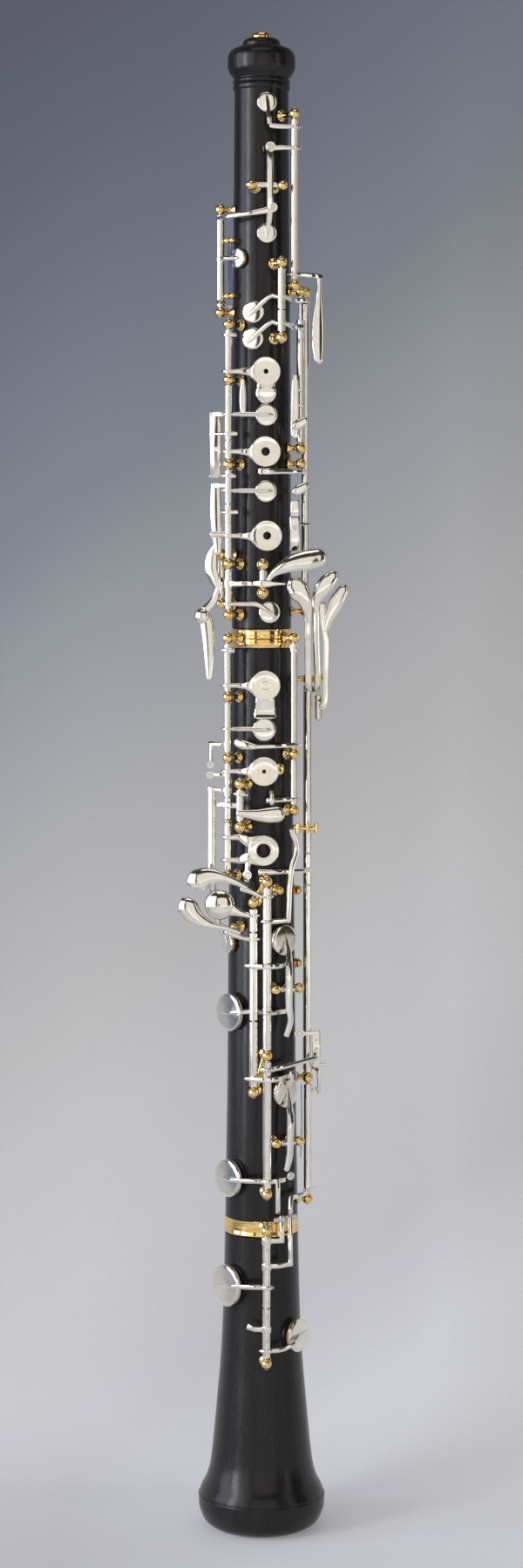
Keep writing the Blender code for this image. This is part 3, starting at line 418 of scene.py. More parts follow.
def grenadilla():
    """Oiled black wood: long grain streaks, open pores and a soft uneven sheen."""
    m = Nodes("grenadilla")
    streaks = m.noise(1.0, 8.0, m.stretched((1500.0, 1500.0, 26.0)), 0.62)
    broad = m.noise(1.0, 3.0, m.stretched((260.0, 260.0, 9.0)), 0.5)
    grain = m.ramp(streaks, [(0.30, (0.0065, 0.0060, 0.0066)), (0.55, (0.0125, 0.0112, 0.0112)),
                             (0.74, (0.027, 0.022, 0.0185))])
    tone = m.ramp(broad, [(0.35, (0.62, 0.62, 0.74)), (0.7, (1.22, 1.10, 1.0))])
    pores = m.noise(1.0, 4.0, m.stretched((5200.0, 5200.0, 150.0)), 0.6)
    pits = m.ramp(pores, [(0.36, 0.0), (0.46, 1.0)])
    rough = m.mix(m.ramp(broad, [(0.3, 0.17), (0.75, 0.27)]), m.ramp(pores, [(0.36, 0.5), (0.5, 0.2)]), 0.4)
    normal = m.bump(pits, 0.22, 0.00004, m.bump(streaks, 0.10, 0.00006))
    return m.finish(m.mix(grain, tone, 0.75, "MULTIPLY"), rough, normal, Specular_IOR_Level=0.36)


def pad_skin(name, deep, light):
    """Skin of a pad with a fine crinkle."""
    m = Nodes(name)
    colour = m.ramp(m.noise(1400.0, 5.0), [(0.3, deep), (0.7, light)])
    normal = m.bump(m.noise(3200.0, 4.0), 0.5, 0.00008)
    return m.finish(colour, m.ramp(m.noise(900.0), [(0.3, 0.5), (0.7, 0.72)]), normal)


def cork():
    """Cork facing under a lever: pale brown with dark cells."""
    m = Nodes("cork")
    cells = m.add("ShaderNodeTexVoronoi")
    cells.inputs["Scale"].default_value = 2600.0
    m.link(m.place, cells.inputs["Vector"])
    colour = m.mix(m.ramp(cells.outputs["Distance"], [(0.1, (0.16, 0.08, 0.035)), (0.4, (0.52, 0.32, 0.17))]),
                   m.ramp(m.noise(1500.0), [(0.3, 0.6), (0.7, 1.1)]), 0.6, "MULTIPLY")
    return m.finish(colour, None, m.bump(cells.outputs["Distance"], 0.4, 0.0001), Roughness=0.85)


def steel():
    """Turned steel screw heads with a fine grain and a trace of oil."""
    m = Nodes("screw_steel")
    colour = m.ramp(m.noise(1800.0, 4.0), [(0.3, (0.60, 0.585, 0.56)), (0.7, (0.80, 0.79, 0.77))])
    rough = m.ramp(m.noise(2600.0, 3.0), [(0.3, 0.16), (0.7, 0.34)])
    return m.finish(colour, rough, m.bump(m.noise(6000.0), 0.12, 0.00004), Metallic=1.0)


def blued():
    """Blued needle spring steel that fades from straw to blue."""
    m = Nodes("blued_spring")
    colour = m.ramp(m.noise(160.0, 3.0), [(0.3, (0.02, 0.04, 0.10)), (0.62, (0.05, 0.09, 0.18)), (0.8, (0.22, 0.17, 0.12))])
    return m.finish(colour, m.ramp(m.noise(1500.0), [(0.3, 0.22), (0.7, 0.4)]), None, Metallic=1.0)


def shadowed_bore():
    """Inside of a hole: painted shade, near-black oiled wood colour that stands in for the shadow down the hole."""
    m = Nodes("bore_painted_shade")
    colour = m.ramp(m.noise(900.0), [(0.3, (0.004, 0.004, 0.004)), (0.7, (0.012, 0.010, 0.009))])
    return m.finish(colour, m.ramp(m.noise(700.0), [(0.3, 0.55), (0.7, 0.7)]), None)


LOOKS = {
    SILVER: plated("silver_plate", (0.94, 0.91, 0.84), (0.85, 0.80, 0.705), 0.06, 0.14),
    GOLD: plated("gold_plate", (1.0, 0.76, 0.35), (0.95, 0.63, 0.20), 0.07, 0.15),
    PAD: pad_skin("tan_pad", (0.33, 0.13, 0.055), (0.55, 0.27, 0.13)),
    PALE: pad_skin("pale_pad", (0.60, 0.52, 0.42), (0.78, 0.72, 0.62)), CORK: cork(), STEEL: steel(), BLUED: blued(), WOOD: grenadilla(), HOLE_SHADE: shadowed_bore(),
}


# ------------------------------------------------------------------ shared parts of a key
def barrel(b, key, low, high, radius=BARREL_RADIUS, marks=()):
    """Hinge tube with turned grooves near its ends and at the given heights."""
    length = high - low
    lines = [mark - low for mark in marks]
    if length > 9:
        lines += [2.3, length - 2.3]
    b.tube(on(key, low), on(key, high), radius, SILVER, 24, lines)


def vent_base(vent):
    angle, z, radius, lift = VENTS[vent]
    return polar(angle, wood_radius(z) + lift, z), polar(angle, 1.0, 0), radius


def cup(b, vent, height=2.1, crown=0.22, pad=PAD):
    """Pad cup: bevelled rim, slightly crowned top and the pad under it."""
    base, out, r = vent_base(vent)
    low = 0.8
    b.turned([(0, low + 0.3), (r - 0.35, low + 0.3), (r - 0.35, low + 0.1), (r - 0.25, low), (r - 0.08, low),
              (r, low + 0.1), (r, height - 0.5), (r - 0.08, height - 0.34), (r - 0.3, height - 0.2),
              (r * 0.8, height - 0.1), (r * 0.45, height - 0.02), (0, height + crown * 0.2)],
             base, out, SILVER, 48)
    b.turned([(0, -0.32), (r * 0.55, -0.32), (r - 0.62, -0.3), (r - 0.36, -0.12), (r - 0.2, 0.2),
              (r - 0.2, 0.6), (r - 0.32, low + 0.15), (0, low + 0.15)], base, out, pad, 40)


def plate(b, vent, hole=0.0, ring=0.0, height=1.4):
    """Finger plate: rolled edge, shallow dish and, on some, an open hole."""
    base, out, r = vent_base(vent)
    rim = [(r - 0.3, 0), (r - 0.05, 0.05), (r, 0.25), (r, height - 0.45), (r - 0.1, height - 0.15),
           (r - 0.32, height), (r - 0.75, height - 0.03)]
    dish = [(r - 1.1, height - 0.12), (r * 0.55, height - 0.2)]
    if ring:
        dish = [(r - 1.1, height - 0.12), (ring + 0.75, height - 0.16), (ring + 0.6, height + 0.02),
                (ring + 0.15, height + 0.08)]
    if hole:
        edge = [(hole + 0.12, height - (0.2 if not ring else -0.02)), (hole, height - 0.35), (hole, 0)]
        b.turned(rim + dish + edge, base, out, SILVER, 56, hollow=True)
    else:
        b.turned([(0, 0)] + rim + dish + [(0, height - 0.22)], base, out, SILVER, 56)
    inner = hole + 0.3 if hole else 0
    skin = [(inner, -0.25), (r * 0.6, -0.3), (r - 0.8, -0.25), (r - 0.6, -0.12), (r - 0.6, 0.05), (inner, 0.05)]
    b.turned(skin, base, out, PAD, 40, hollow=bool(hole))


def cup_top(vent, rise=0.35, height=2.1):
    base, out, _ = vent_base(vent)
    return base + out * (height + rise)


def cup_tip(vent, source, share=0.62, height=2.1):
    """Point past a cup's centre where the arm's leaf ends."""
    base, out, r = vent_base(vent)
    centre = base + out * (height + 0.12)
    way = centre - Vector(source)
    way -= out * way.dot(out)
    return centre + way.normalized() * r * share


def vent_arm(b, vent, points, width=2.0):
    """Arm on a hinge line that ends as a leaf over its cup."""
    points = [Vector(p) for p in points]
    top = cup_top(vent)
    tip = cup_tip(vent, points[-1])
    widths = [width] * len(points) + [1.7]
    b.arm(points + [top], widths, [1.4] * len(points) + [1.2], tip, square=1.35)


def plate_arm(b, key, vent, z=None):
    """Arm of a finger plate: a spindle collar, a slim neck and a flare into the plate."""
    angle, height, r, lift = VENTS[vent]
    z = height if z is None else z
    radius = line_of(key)[1]
    side = -polar(angle + 90, 1.0, 0)
    base, out, _ = vent_base(vent)
    mid = base + out * 0.75
    points = [on(key, z), at(-8.2, radius - 2.1, z), mid + side * (r + 0.8), mid + side * (r - 1.0),
              mid + side * (r * 0.35)]
    b.arm(points, [2.0, 2.2, 3.6, 6.6, 8.0], [1.2, 1.1, 1.05, 0.95, 0.6])


def post(b, angle, reach, z, ball=2.2):
    """Turned post: dished foot, slim waist and a ball with a small collar."""
    foot = foot_radius(z) + 0.3
    h = reach - foot
    profile = [(0, 0), (2.3, 0), (2.32, 0.28), (2.1, 0.55), (1.5, 0.85), (1.12, 1.25), (1.0, 1.7)]
    waist = h - math.sqrt(max(ball ** 2 - 1.2 ** 2, 0.1))
    if waist > 2.3:
        profile += [(1.0, waist - 0.5), (1.15, waist - 0.2), (1.3, waist - 0.1), (1.3, waist + 0.12)]
    else:
        profile += [(1.0, max(waist - 0.1, 1.75))]
    steps = 12
    start = math.asin(min(1.0, 1.2 / ball))
    for k in range(steps + 1):
        turn = start + (math.pi - start) * k / steps
        r = ball * math.sin(turn)
        profile.append((r if k < steps else 0, h - ball * math.cos(turn)))
    profile = profile[:1] + sorted(profile[1:-1], key=lambda p: p[1]) + profile[-1:]
    b.turned(profile, polar(angle, foot, z), polar(angle, 1, 0), GOLD, 28)


def ball(b, point, axis, radius=2.2):
    profile = [(radius * math.sin(math.pi * k / 16) if 0 < k < 16 else 0, -radius * math.cos(math.pi * k / 16))
               for k in range(17)]
    b.turned(profile, point, axis, GOLD, 28)


def pivot(b, point, way):
    """Pivot screw head that closes the end of a hinge line."""
    way = Vector(way)
    b.screw(Vector(point) + way * 1.5, way, 0.8, 0.8)


def spring(b, start, end, bow=0.5):
    """Needle spring: a thin blued wire with a slight bow."""
    start, end = Vector(start), Vector(end)
    middle = (start + end) / 2
    middle += Vector((middle.x, middle.y, 0)).normalized() * bow
    b.sweep([start, middle, end], 0.32, 0.32, slot=BLUED, steps=6, sides=8, square=1.0)


def line_posts(name, key, heights, springs=()):
    """Posts of one vertical hinge line with the rod between them."""
    b = Piece("vis_" + name)
    angle, reach = line_of(key)
    for z in heights:
        post(b, angle, reach, z)
    b.tube(on(key, heights[-1]), on(key, heights[0]), 0.7, STEEL, 14)
    pivot(b, on(key, heights[0]), (0, 0, 1))
    pivot(b, on(key, heights[-1]), (0, 0, -1))
    for z, length, shift in springs:
        spring(b, polar(angle + shift, reach - 1.6, z), polar(angle + shift, reach - 2.2, z + length))
    return b


def cross_posts(name, key, half):
    b = Piece("vis_" + name)
    centre, along = AXES[key], CROSS[key]
    b.tube(centre - along * half, centre + along * half, 0.55, STEEL, 12)
    for sign in (-1, 1):
        end = centre + along * half * sign
        post(b, math.degrees(math.atan2(end.x, -end.y)), math.hypot(end.x, end.y), end.z, 2.0)
        b.screw(end + along * sign * 1.4, along * sign, 0.7, 0.7)
    b.done("instrument", name, look="gold_plate")


def twin_post(b, keys, z):
    (first, reach), (second, other) = line_of(keys[0]), line_of(keys[1])
    middle = (first + second) / 2
    foot = wood_radius(z) + 0.3
    saddle = min(reach, other) * math.cos(math.radians((second - first) / 2)) + 0.4 - foot
    b.turned([(0, 0), (2.3, 0), (2.32, 0.28), (2.1, 0.55), (1.5, 0.9), (1.2, 1.4), (1.2, saddle), (0, saddle)],
             polar(middle, foot, z), polar(middle, 1, 0), GOLD, 28)
    for a, c in zip(keys, keys[1:]):
        b.tube(on(a, z), on(c, z), 1.15, GOLD, 18)
    for key in keys:
        ball(b, on(key, z), polar(line_of(key)[0], 1, 0))


# ------------------------------------------------------------------ wood and rings
def outline_rows(outline, steps=3):
    rows = smooth_path([(r, z) for z, r in outline], steps)
    return [(r, z) for r, z in rows]


def bore(z):
    return 8.0 + (2.1 - 8.0) * (z - BELL_SEAM) / (575.0 - BELL_SEAM)


def seats(b, low, high):
    """Turned seat under each pad, with a dark disc of painted shade standing in for the tone hole."""
    for vent, (angle, z, r, lift) in VENTS.items():
        if not low < z < high:
            continue
        surface = wood_radius(z)
        out = polar(angle, 1, 0)
        seat = min(r - 0.5, surface * 0.5)
        b.turned([(0, 0), (seat, 0), (seat, 1.42), (seat - 0.25, 1.6), (seat - 0.5, 1.62),
                  (seat * 0.55, 1.6), (seat * 0.5, 1.35), (0, 1.3)],
                 polar(angle, surface - 1.6, z), out, WOOD, 40)
        # Dark cylinder just under the seat's surface: painted shade in place of the open tone hole.
        b.turned([(0, 0), (seat * 0.48, 0), (seat * 0.48, 1.42), (0, 1.44)],
                 polar(angle, surface - 1.5 + 0.03, z), out, HOLE_SHADE, 28)


def wooden_joints():
    b = Piece("upper_joint_wood")
    lower_end = SEAM - 20.0
    rows = [(8.3, lower_end), (8.3, SEAM + 0.1), (11.2, SEAM + 0.2), (11.2, 366.4)] + outline_rows(UPPER_OUTLINE)
    rows += [(4.5, 599.9), (4.5, 575.0), (2.1, 575.0), (bore(343.0), lower_end)]
    b.turned(rows, (0, 0, 0), (0, 0, 1), WOOD, 96, hollow=True)
    seats(b, 367, 580)
    b.done("instrument", "upper_joint", look="grenadilla_wood")
    b = Piece("lower_joint_wood")
    foot = BELL_SEAM - 20.0
    rows = [(11.0, foot), (11.0, 125.0), (13.9, 125.0), (13.9, 128.0)] + outline_rows(LOWER_OUTLINE)
    rows += [(11.3, 358.6), (11.3, 362.3), (8.6, 362.3), (8.6, 342.0), (bore(341.0), 342.0), (bore(foot), foot)]
    b.turned(rows, (0, 0, 0), (0, 0, 1), WOOD, 96, hollow=True)
    seats(b, 129, 358)
    b.done("instrument", "lower_joint", look="grenadilla_wood")
    b = Piece("bell_wood")
    rows = outline_rows(BELL_OUTLINE)
    rows += [(13.9, 121.4), (13.9, 124.6), (11.3, 124.6), (11.3, 104.3), (8.6, 104.3), (9.2, 92.0),
             (10.2, 80.0), (12.6, 52.0), (14.0, 40.0), (15.3, 30.0), (16.6, 20.0), (17.6, 13.0),
             (18.4, 4.0), (18.7, 1.0), (19.1, 0.0)]
    b.turned(rows, (0, 0, 0), (0, 0, 1), WOOD, 112, hollow=True)
    seats(b, 70, 105)
    b.done("instrument", "bell", look="grenadilla_wood")


def gold_rings():
    b = Piece("reed_socket_metal")
    b.turned([(4.15, 575.4), (4.2, 600.6), (4.12, 601.2), (3.95, 601.7), (3.7, 601.98), (3.5, 601.9),
              (3.4, 601.4), (3.35, 575.4)], (0, 0, 0), (0, 0, 1), GOLD, 72, hollow=True)
    b.done("instrument", "reed_socket_liner", look="gold_plate")
    b = Piece("upper_ring_metal")
    b.turned([(11.6, 362.55), (12.1, 362.56), (12.24, 362.68), (12.26, 363.5), (12.1, 363.7), (12.1, 363.85),
              (12.26, 364.05), (12.26, 365.6), (12.1, 365.8), (12.1, 365.92), (12.2, 366.05),
              (12.05, 366.35), (11.6, 366.4)], (0, 0, 0), (0, 0, 1), GOLD, 96, hollow=True)
    b.done("instrument", "upper_joint_ring", look="gold_plate")
    b = Piece("lower_ring_metal")
    b.turned([(11.6, 358.9), (12.05, 358.92), (12.22, 359.15), (12.3, 360.9), (12.14, 361.1), (12.14, 361.25),
              (12.3, 361.4), (12.3, 362.2), (12.16, 362.38), (11.6, 362.4)],
             (0, 0, 0), (0, 0, 1), GOLD, 96, hollow=True)
    b.done("instrument", "lower_joint_ring", look="gold_plate")
    b = Piece("bell_ring_metal")
    b.turned([(14.25, 121.6), (14.95, 121.65), (15.15, 121.9), (15.15, 123.3), (15.0, 123.5), (15.0, 123.65),
              (15.15, 123.85), (15.12, 124.5), (14.8, 124.72), (14.8, 124.9), (15.1, 125.15), (15.1, 126.9),
              (14.95, 127.05), (15.02, 127.2), (14.98, 127.8), (14.8, 128.0), (14.25, 128.0)],
             (0, 0, 0), (0, 0, 1), GOLD, 96, hollow=True)
    b.done("instrument", "bell_ring", look="gold_plate")
    b = Piece("thumb_rest_metal")
    z = 302.0
    near = wood_radius(z) + 0.3
    b.sweep([(0, near + 0.65, z - 10.6), (0, near + 0.65, z - 6), (0, near + 0.65, z), (0, near + 0.65, z + 6),
             (0, near + 0.65, z + 10.6)], [5.4, 7.6, 8.0, 7.6, 5.4], 1.2, (0, 1, 0), steps=6, sides=16)
    b.sweep([(0, near + 0.8, z), (0, near + 4, z + 0.5), (0, near + 8, z - 0.2), (0, near + 10.6, z - 2.2),
             (0, near + 11.9, z - 4.8)], [6.6, 8.2, 9.6, 9.8, 8.4], 1.6, (0, 0, 1), steps=6, sides=18, square=0.75)
    for side in (-1, 1):
        b.screw((0, near + 1.1, z + side * 7.6), (0, 1, 0), 1.5, 0.8, turn=0.9)
    b.done("instrument", "thumb_rest")


def all_posts():
    line_posts("side_octave_posts", "side_octave_key", (568.7, 501.9), [(563.0, -22, -9)]).done(
        "instrument", "side_octave_posts", look="gold_plate")
    b = line_posts("thumb_octave_posts", "thumb_octave_key", (532.5, 492.0))
    for z in (520.2, 498.4):
        for shift, reach in ((-67.0, 14.8), (-58.0, 13.6)):
            b.tube(polar(shift, 11.0, z), polar(shift, reach - 0.9, z), 0.6, GOLD, 14)
            ball(b, polar(shift, reach, z), polar(shift, 1, 0), 1.25)
    for shift, low, high in ((-68, 499, 518), (-62, 500, 516), (-57, 497, 520)):
        spring(b, polar(shift, 13.6, low), polar(shift + 1.5, 14.2, high), 0.3)
    b.done("instrument", "thumb_octave_posts", look="gold_plate")
    line_posts("trill_lever_posts", "upper_trill_lever", (510.6, 481.2)).done(
        "instrument", "trill_lever_posts", look="gold_plate")
    line_posts("upper_stack_posts", "a_key", (486.7, 464.9, 431.6, 392.3, 372.1),
               [(462, -13, 7), (430, -12, 7), (390, -10, 7)]).done(
        "instrument", "upper_stack_posts", look="gold_plate")
    line_posts("g_sharp_lever_posts", "g_sharp_lever", (392.0, 380.8)).done(
        "instrument", "g_sharp_lever_posts", look="gold_plate")
    line_posts("side_trill_posts", "side_trill_key", (396.0, 376.4)).done(
        "instrument", "side_trill_posts", look="gold_plate")
    line_posts("lower_stack_posts", "e_key", (362.8, 339.4, 315.1, 268.0), [(336, -12, 7), (266, -14, 8)]).done(
        "instrument", "lower_stack_posts", look="gold_plate")
    b = line_posts("fork_posts", "fork_f_key", (362.8, 316.5, 294.0), [(314, 3, -8)])
    post(b, 33.0, 13.6, 310.4, 0.9)
    b.done("instrument", "fork_posts", look="gold_plate")
    line_posts("banana_posts", "banana_key", (305.0, 287.8)).done(
        "instrument", "banana_posts", look="gold_plate")
    line_posts("bell_posts", "bell_b_flat_key", (126.0, 71.9)).done(
        "instrument", "bell_posts", look="gold_plate")
    cross_posts("rocker_posts", "octave_rocker", 6.2)
    cross_posts("e_flat_hinge_posts", "e_flat_cup_lever", 5.6)
    cross_posts("c_sharp_hinge_posts", "c_sharp_cup_lever", 5.6)
    b = Piece("vis_trill_rod_posts")
    short, long_ = "short_trill_key", "long_trill_key"
    twin_post(b, (short, long_), 500.1)
    for key, low in ((short, 438.3), (long_, 373.4)):
        angle, reach = line_of(key)
        post(b, angle, reach, low)
        b.tube(on(key, low), on(key, 500.1), 0.7, STEEL, 14)
        pivot(b, on(key, low), (0, 0, -1))
        pivot(b, on(key, 500.1), (0, 0, 1))
    post(b, line_of(short)[0], line_of(short)[1], 432.1)
    b.done("instrument", "trill_rod_posts", look="gold_plate")
    b = Piece("vis_long_lever_posts")
    low_b, low_flat, left = "low_b_lever", "low_b_flat_lever", "left_f_lever"
    twin_post(b, (low_b, low_flat, left), 346.2)
    twin_post(b, (low_b, low_flat), 184.6)
    b.tube(on(low_flat, 184.6), on(low_flat, 346.2), 0.7, STEEL, 14)
    b.tube(on(left, 329.0), on(left, 346.2), 0.7, STEEL, 14)
    b.tube(on(low_b, 135.0), on(low_b, 184.6), 0.7, STEEL, 14)
    post(b, *line_of(low_b), 135.0)
    pivot(b, on(low_b, 135.0), (0, 0, -1))
    spring(b, on(low_b, 182) + Vector((-2.6, 0.6, 0)), on(low_b, 152) + Vector((-2.9, 0.8, 0)), 0.3)
    b.screw(on(low_b, 158.0) + Vector((-3.4, -0.6, 0)), (-1, -0.4, 0), 0.7, 0.8)
    angle, reach = line_of(low_b)
    for z in (261.2, 231.6):
        post(b, angle - 6.0, reach - 4.2, z, 1.9)
    for share, z in ((0.0, 287.6), (0.35, 286.9), (0.7, 286.4), (1.0, 286.6)):
        if share:
            p, q = guide, Vector((12.6 + 9.6 * share, -13.6 + 5.0 * share, z))
            b.tube(p, q, 0.9, GOLD, 14)
        guide = Vector((12.6 + 9.6 * share, -13.6 + 5.0 * share, z))
    for x, y in ((14.6, -13.2), (18.4, -11.2), (22.0, -9.2)):
        b.tube((x, y, 284.8), (x, y, 288.8), 0.95, GOLD, 14)
    b.done("instrument", "long_lever_posts", look="gold_plate")
    b = Piece("vis_foot_joint_posts")
    for z in (266.1, 196.4, 140.5):
        post(b, *line_of("low_c_key"), z)
    for z in (257.8, 181.5):
        post(b, *line_of("c_sharp_key"), z)
    b.tube(on("low_c_key", 140.5), on("low_c_key", 266.1), 0.7, STEEL, 14)
    for key, z, way in (("low_c_key", 266.1, 1), ("low_c_key", 140.5, -1), ("c_sharp_key", 257.8, 1),
                        ("c_sharp_key", 181.5, -1)):
        pivot(b, on(key, z), (0, 0, way))
    for angle, z in ((24.0, 262.2), (-38.0, 247.2)):
        post(b, angle, 17.4, z, 1.8)
    for (z0, a0), (z1, a1) in (((266.1, 6.0), (257.8, -9.0)), ((196.4, 6.0), (181.5, -9.0))):
        rows = []
        for share in (0.0, 0.5, 1.0):
            z = z0 * (1 - share) + z1 * share
            rows.append(polar(a0 * (1 - share) + a1 * share, wood_radius(z) + 0.7, z))
        b.sweep(rows, 2.0, 0.6, slot=GOLD)
    b.done("instrument", "foot_joint_posts", look="gold_plate")


# ------------------------------------------------------------------ keys, upper joint
def octave_keys():
    key = "side_octave_key"
    b = Piece("vis_" + key)
    barrel(b, key, 504.3, 566.3)
    b.arm([on(key, 563.5), at(8.4, 17.0, 563.5), at(3.6, 15.6, 563.8)], 1.9)
    b.bar([at(3.1, 15.4, 564.6), at(2.8, 14.8, 568.0), cup_top("side_octave", 0.3), cup_tip("side_octave", at(2.8, 14.8, 568.0), 0.75)],
          [1.9, 1.8, 1.6, 0.5], [1.5, 1.3, 1.1, 0.4])
    cup(b, "side_octave")
    b.arm([on(key, 555.3), at(8.0, 16.9, 555.3), at(3.6, 15.6, 555.0)], 1.9)
    b.turned([(0, 0), (1.0, 0), (1.0, 0.4), (0, 0.4)], at(0.6, 15.2, 554.8), (1, 0, 0), CORK, 16)
    b.arm([on(key, 506.0), (17.3, -12.4, 506.0), (20.4, -10.6, 505.9)], 1.9)
    b.bar([(19.6, -11.0, 506.0), (23.9, -8.6, 505.6)], 1.9, 1.5, (0, -1, 0.1))
    b.touch([(23.0, -8.9, 506.2), (22.9, -8.6, 501.0), (22.8, -8.2, 496.0), (22.6, -7.6, 488.0),
             (22.6, -7.2, 480.0), (22.8, -7.0, 473.6)], [2.2, 2.0, 3.0, 5.2, 5.6, 4.0], 2.2, (0.25, -1, 0))
    b.done(key, key)

    key = "octave_rocker"
    b = Piece("vis_" + key)
    centre, along = AXES[key], CROSS[key]
    b.tube(centre - along * 3.8, centre + along * 3.8, 1.25, SILVER, 20)
    b.bar([(3.3, -18.9, 556.0), (3.3, -18.9, 543.0), (3.3, -18.9, 531.4), (3.0, -17.0, 527.0),
           cup_top("rocker", 0.3), cup_tip("rocker", (3.0, -17.0, 527.0), 0.7)],
          [2.2, 2.7, 2.4, 2.2, 1.8, 0.5], [1.5, 1.7, 1.4, 1.3, 1.1, 0.4])
    cup(b, "rocker")
    b.turned([(0, -0.8), (1.85, -0.8), (1.95, -0.6), (1.95, 0.5), (0, 0.5)], (3.5, -19.2, 555.0), (0, -1, 0), SILVER, 28)
    b.screw((3.5, -19.5, 555.0), (0, -1, 0), 1.35, 0.8, turn=0.9)
    b.turned([(0, -0.8), (1.75, -0.8), (1.85, -0.6), (1.85, 0.5), (0, 0.5)], (4.4, -18.8, 531.6), (0, -1, 0), SILVER, 28)
    b.screw((4.4, -19.1, 531.6), (0, -1, 0), 1.25, 0.8, turn=2.2)
    b.done(key, key)

    key = "thumb_octave_key"
    b = Piece("vis_" + key)
    barrel(b, key, 494.4, 530.1)
    b.arm([on(key, 529.0), (-14.9, -9.4, 529.0), (-10.5, -13.7, 529.2), (-4.0, -16.2, 529.8), (2.6, -16.35, 530.9)],
          [1.9, 1.9, 1.9, 1.9, 2.6], 1.2)
    vent_arm(b, "thumb_octave", [on(key, 513.0), (-13.8, -8.4, 513.0)])
    cup(b, "thumb_octave")
    rear = 190.0
    b.arm([on(key, 496.0), polar(-105, 16.6, 496.0), polar(-135, 16.2, 495.6), polar(-160, 15.8, 494.5),
           polar(rear, 15.6, 492.0)], [1.9, 2.0, 2.1, 2.6, 4.6], 1.3)
    b.touch([polar(rear, 15.7, 495.6), polar(rear, 15.7, 493.0), polar(rear, 15.7, 489.0), polar(rear, 15.7, 482.5)],
            [4.6, 8.4, 9.6, 8.6], 1.8, polar(rear, 1, 0))
    b.done(key, key)


def trill_keys():
    for name, vent, low, high, z in (("upper_trill_lever", "trill_upper", 492.3, 508.1, 497.0),
                                     ("lower_trill_lever", "trill_lower", 483.7, 491.8, 486.7)):
        b = Piece("vis_" + name)
        barrel(b, name, low, high)
        vent_arm(b, vent, [on(name, z), at(3.0, 16.2, z + 0.2)])
        b.sweep([on(name, z) - Vector((0, 0.6, 0)), (9.6, -15.6, z - 0.1), (11.0, -13.6, z - 0.5), (12.1, -11.0, z - 0.9)],
                [1.9, 1.9, 2.2, 2.6], [1.6, 1.4, 1.4, 1.2])
        cup(b, vent)
        b.done(name, name)
    key = "short_trill_key"
    b = Piece("vis_" + key)
    barrel(b, key, 440.7, 488.9)
    b.arm([on(key, 485.8), (16.4, -10.2, 485.8), (13.4, -12.2, 485.8)], [1.9, 1.9, 2.4], 1.3)
    b.bar([on(key, 455.0), (15.6, -10.4, 455.0)], 2.0, 1.2, (0, 0, 1))
    b.sweep([(13.3, -10.4, 467.2), (13.3, -10.4, 464.0), (13.3, -10.4, 446.6), (13.3, -10.4, 442.4)],
            [0.8, 2.6, 3.4, 2.4], 1.2, (0, -1, 0), steps=2, square=0.45)
    b.bar([on(key, 448.2), (15.9, -10.6, 448.2)], 2.0, 1.2, (0, 0, 1))
    b.touch([(12.4, -10.9, 446.6), (14.2, -11.1, 447.2), (16.8, -11.0, 448.8)], [2.2, 3.8, 3.4], 2.0)
    b.screw((15.4, -10.9, 461.0), (0, -1, 0), 0.7, 0.5)
    b.done(key, key)
    key = "long_trill_key"
    b = Piece("vis_" + key)
    barrel(b, key, 375.8, 497.7, marks=(417.0, 455.0))
    b.arm([on(key, 496.2), (19.2, -5.6, 496.2), (17.2, -10.3, 496.2), (13.6, -12.3, 496.2)], [1.9, 1.9, 1.9, 2.4], 1.3)
    b.arm([on(key, 428.8), (18.0, -6.6, 428.8), (14.2, -10.8, 428.8), at(8.0, 15.6, 428.8), at(2.4, 15.2, 428.8)],
          [1.7, 1.8, 1.8, 2.0, 2.6], 1.2)
    b.bar([at(2.6, 15.1, 428.8), at(-0.9, 14.6, 428.8)], 2.5, 1.3)
    b.bar([on(key, 422.0), (18.0, -7.0, 422.0), (14.4, -10.2, 422.0)], 2.0, 1.2, (0, 0, 1))
    b.touch([(12.6, -10.9, 420.6), (14.4, -11.0, 421.4), (17.2, -10.6, 423.0)], [2.2, 3.9, 3.5], 2.0)
    b.bar([on(key, 408.0), (18.0, -7.0, 408.0), (13.8, -10.2, 408.0)], 2.0, 1.2, (0, 0, 1))
    b.bar([(13.3, -10.4, 417.5), (13.3, -10.4, 411.4)], 3.3, 1.3, (0, -1, 0))
    b.bar([(13.3, -10.4, 411.0), (13.3, -10.4, 397.6)], 4.0, 1.3, (0, -1, 0))
    b.screw((13.3, -10.9, 406.6), (0, -1, 0), 0.95, 0.7)
    b.done(key, key)


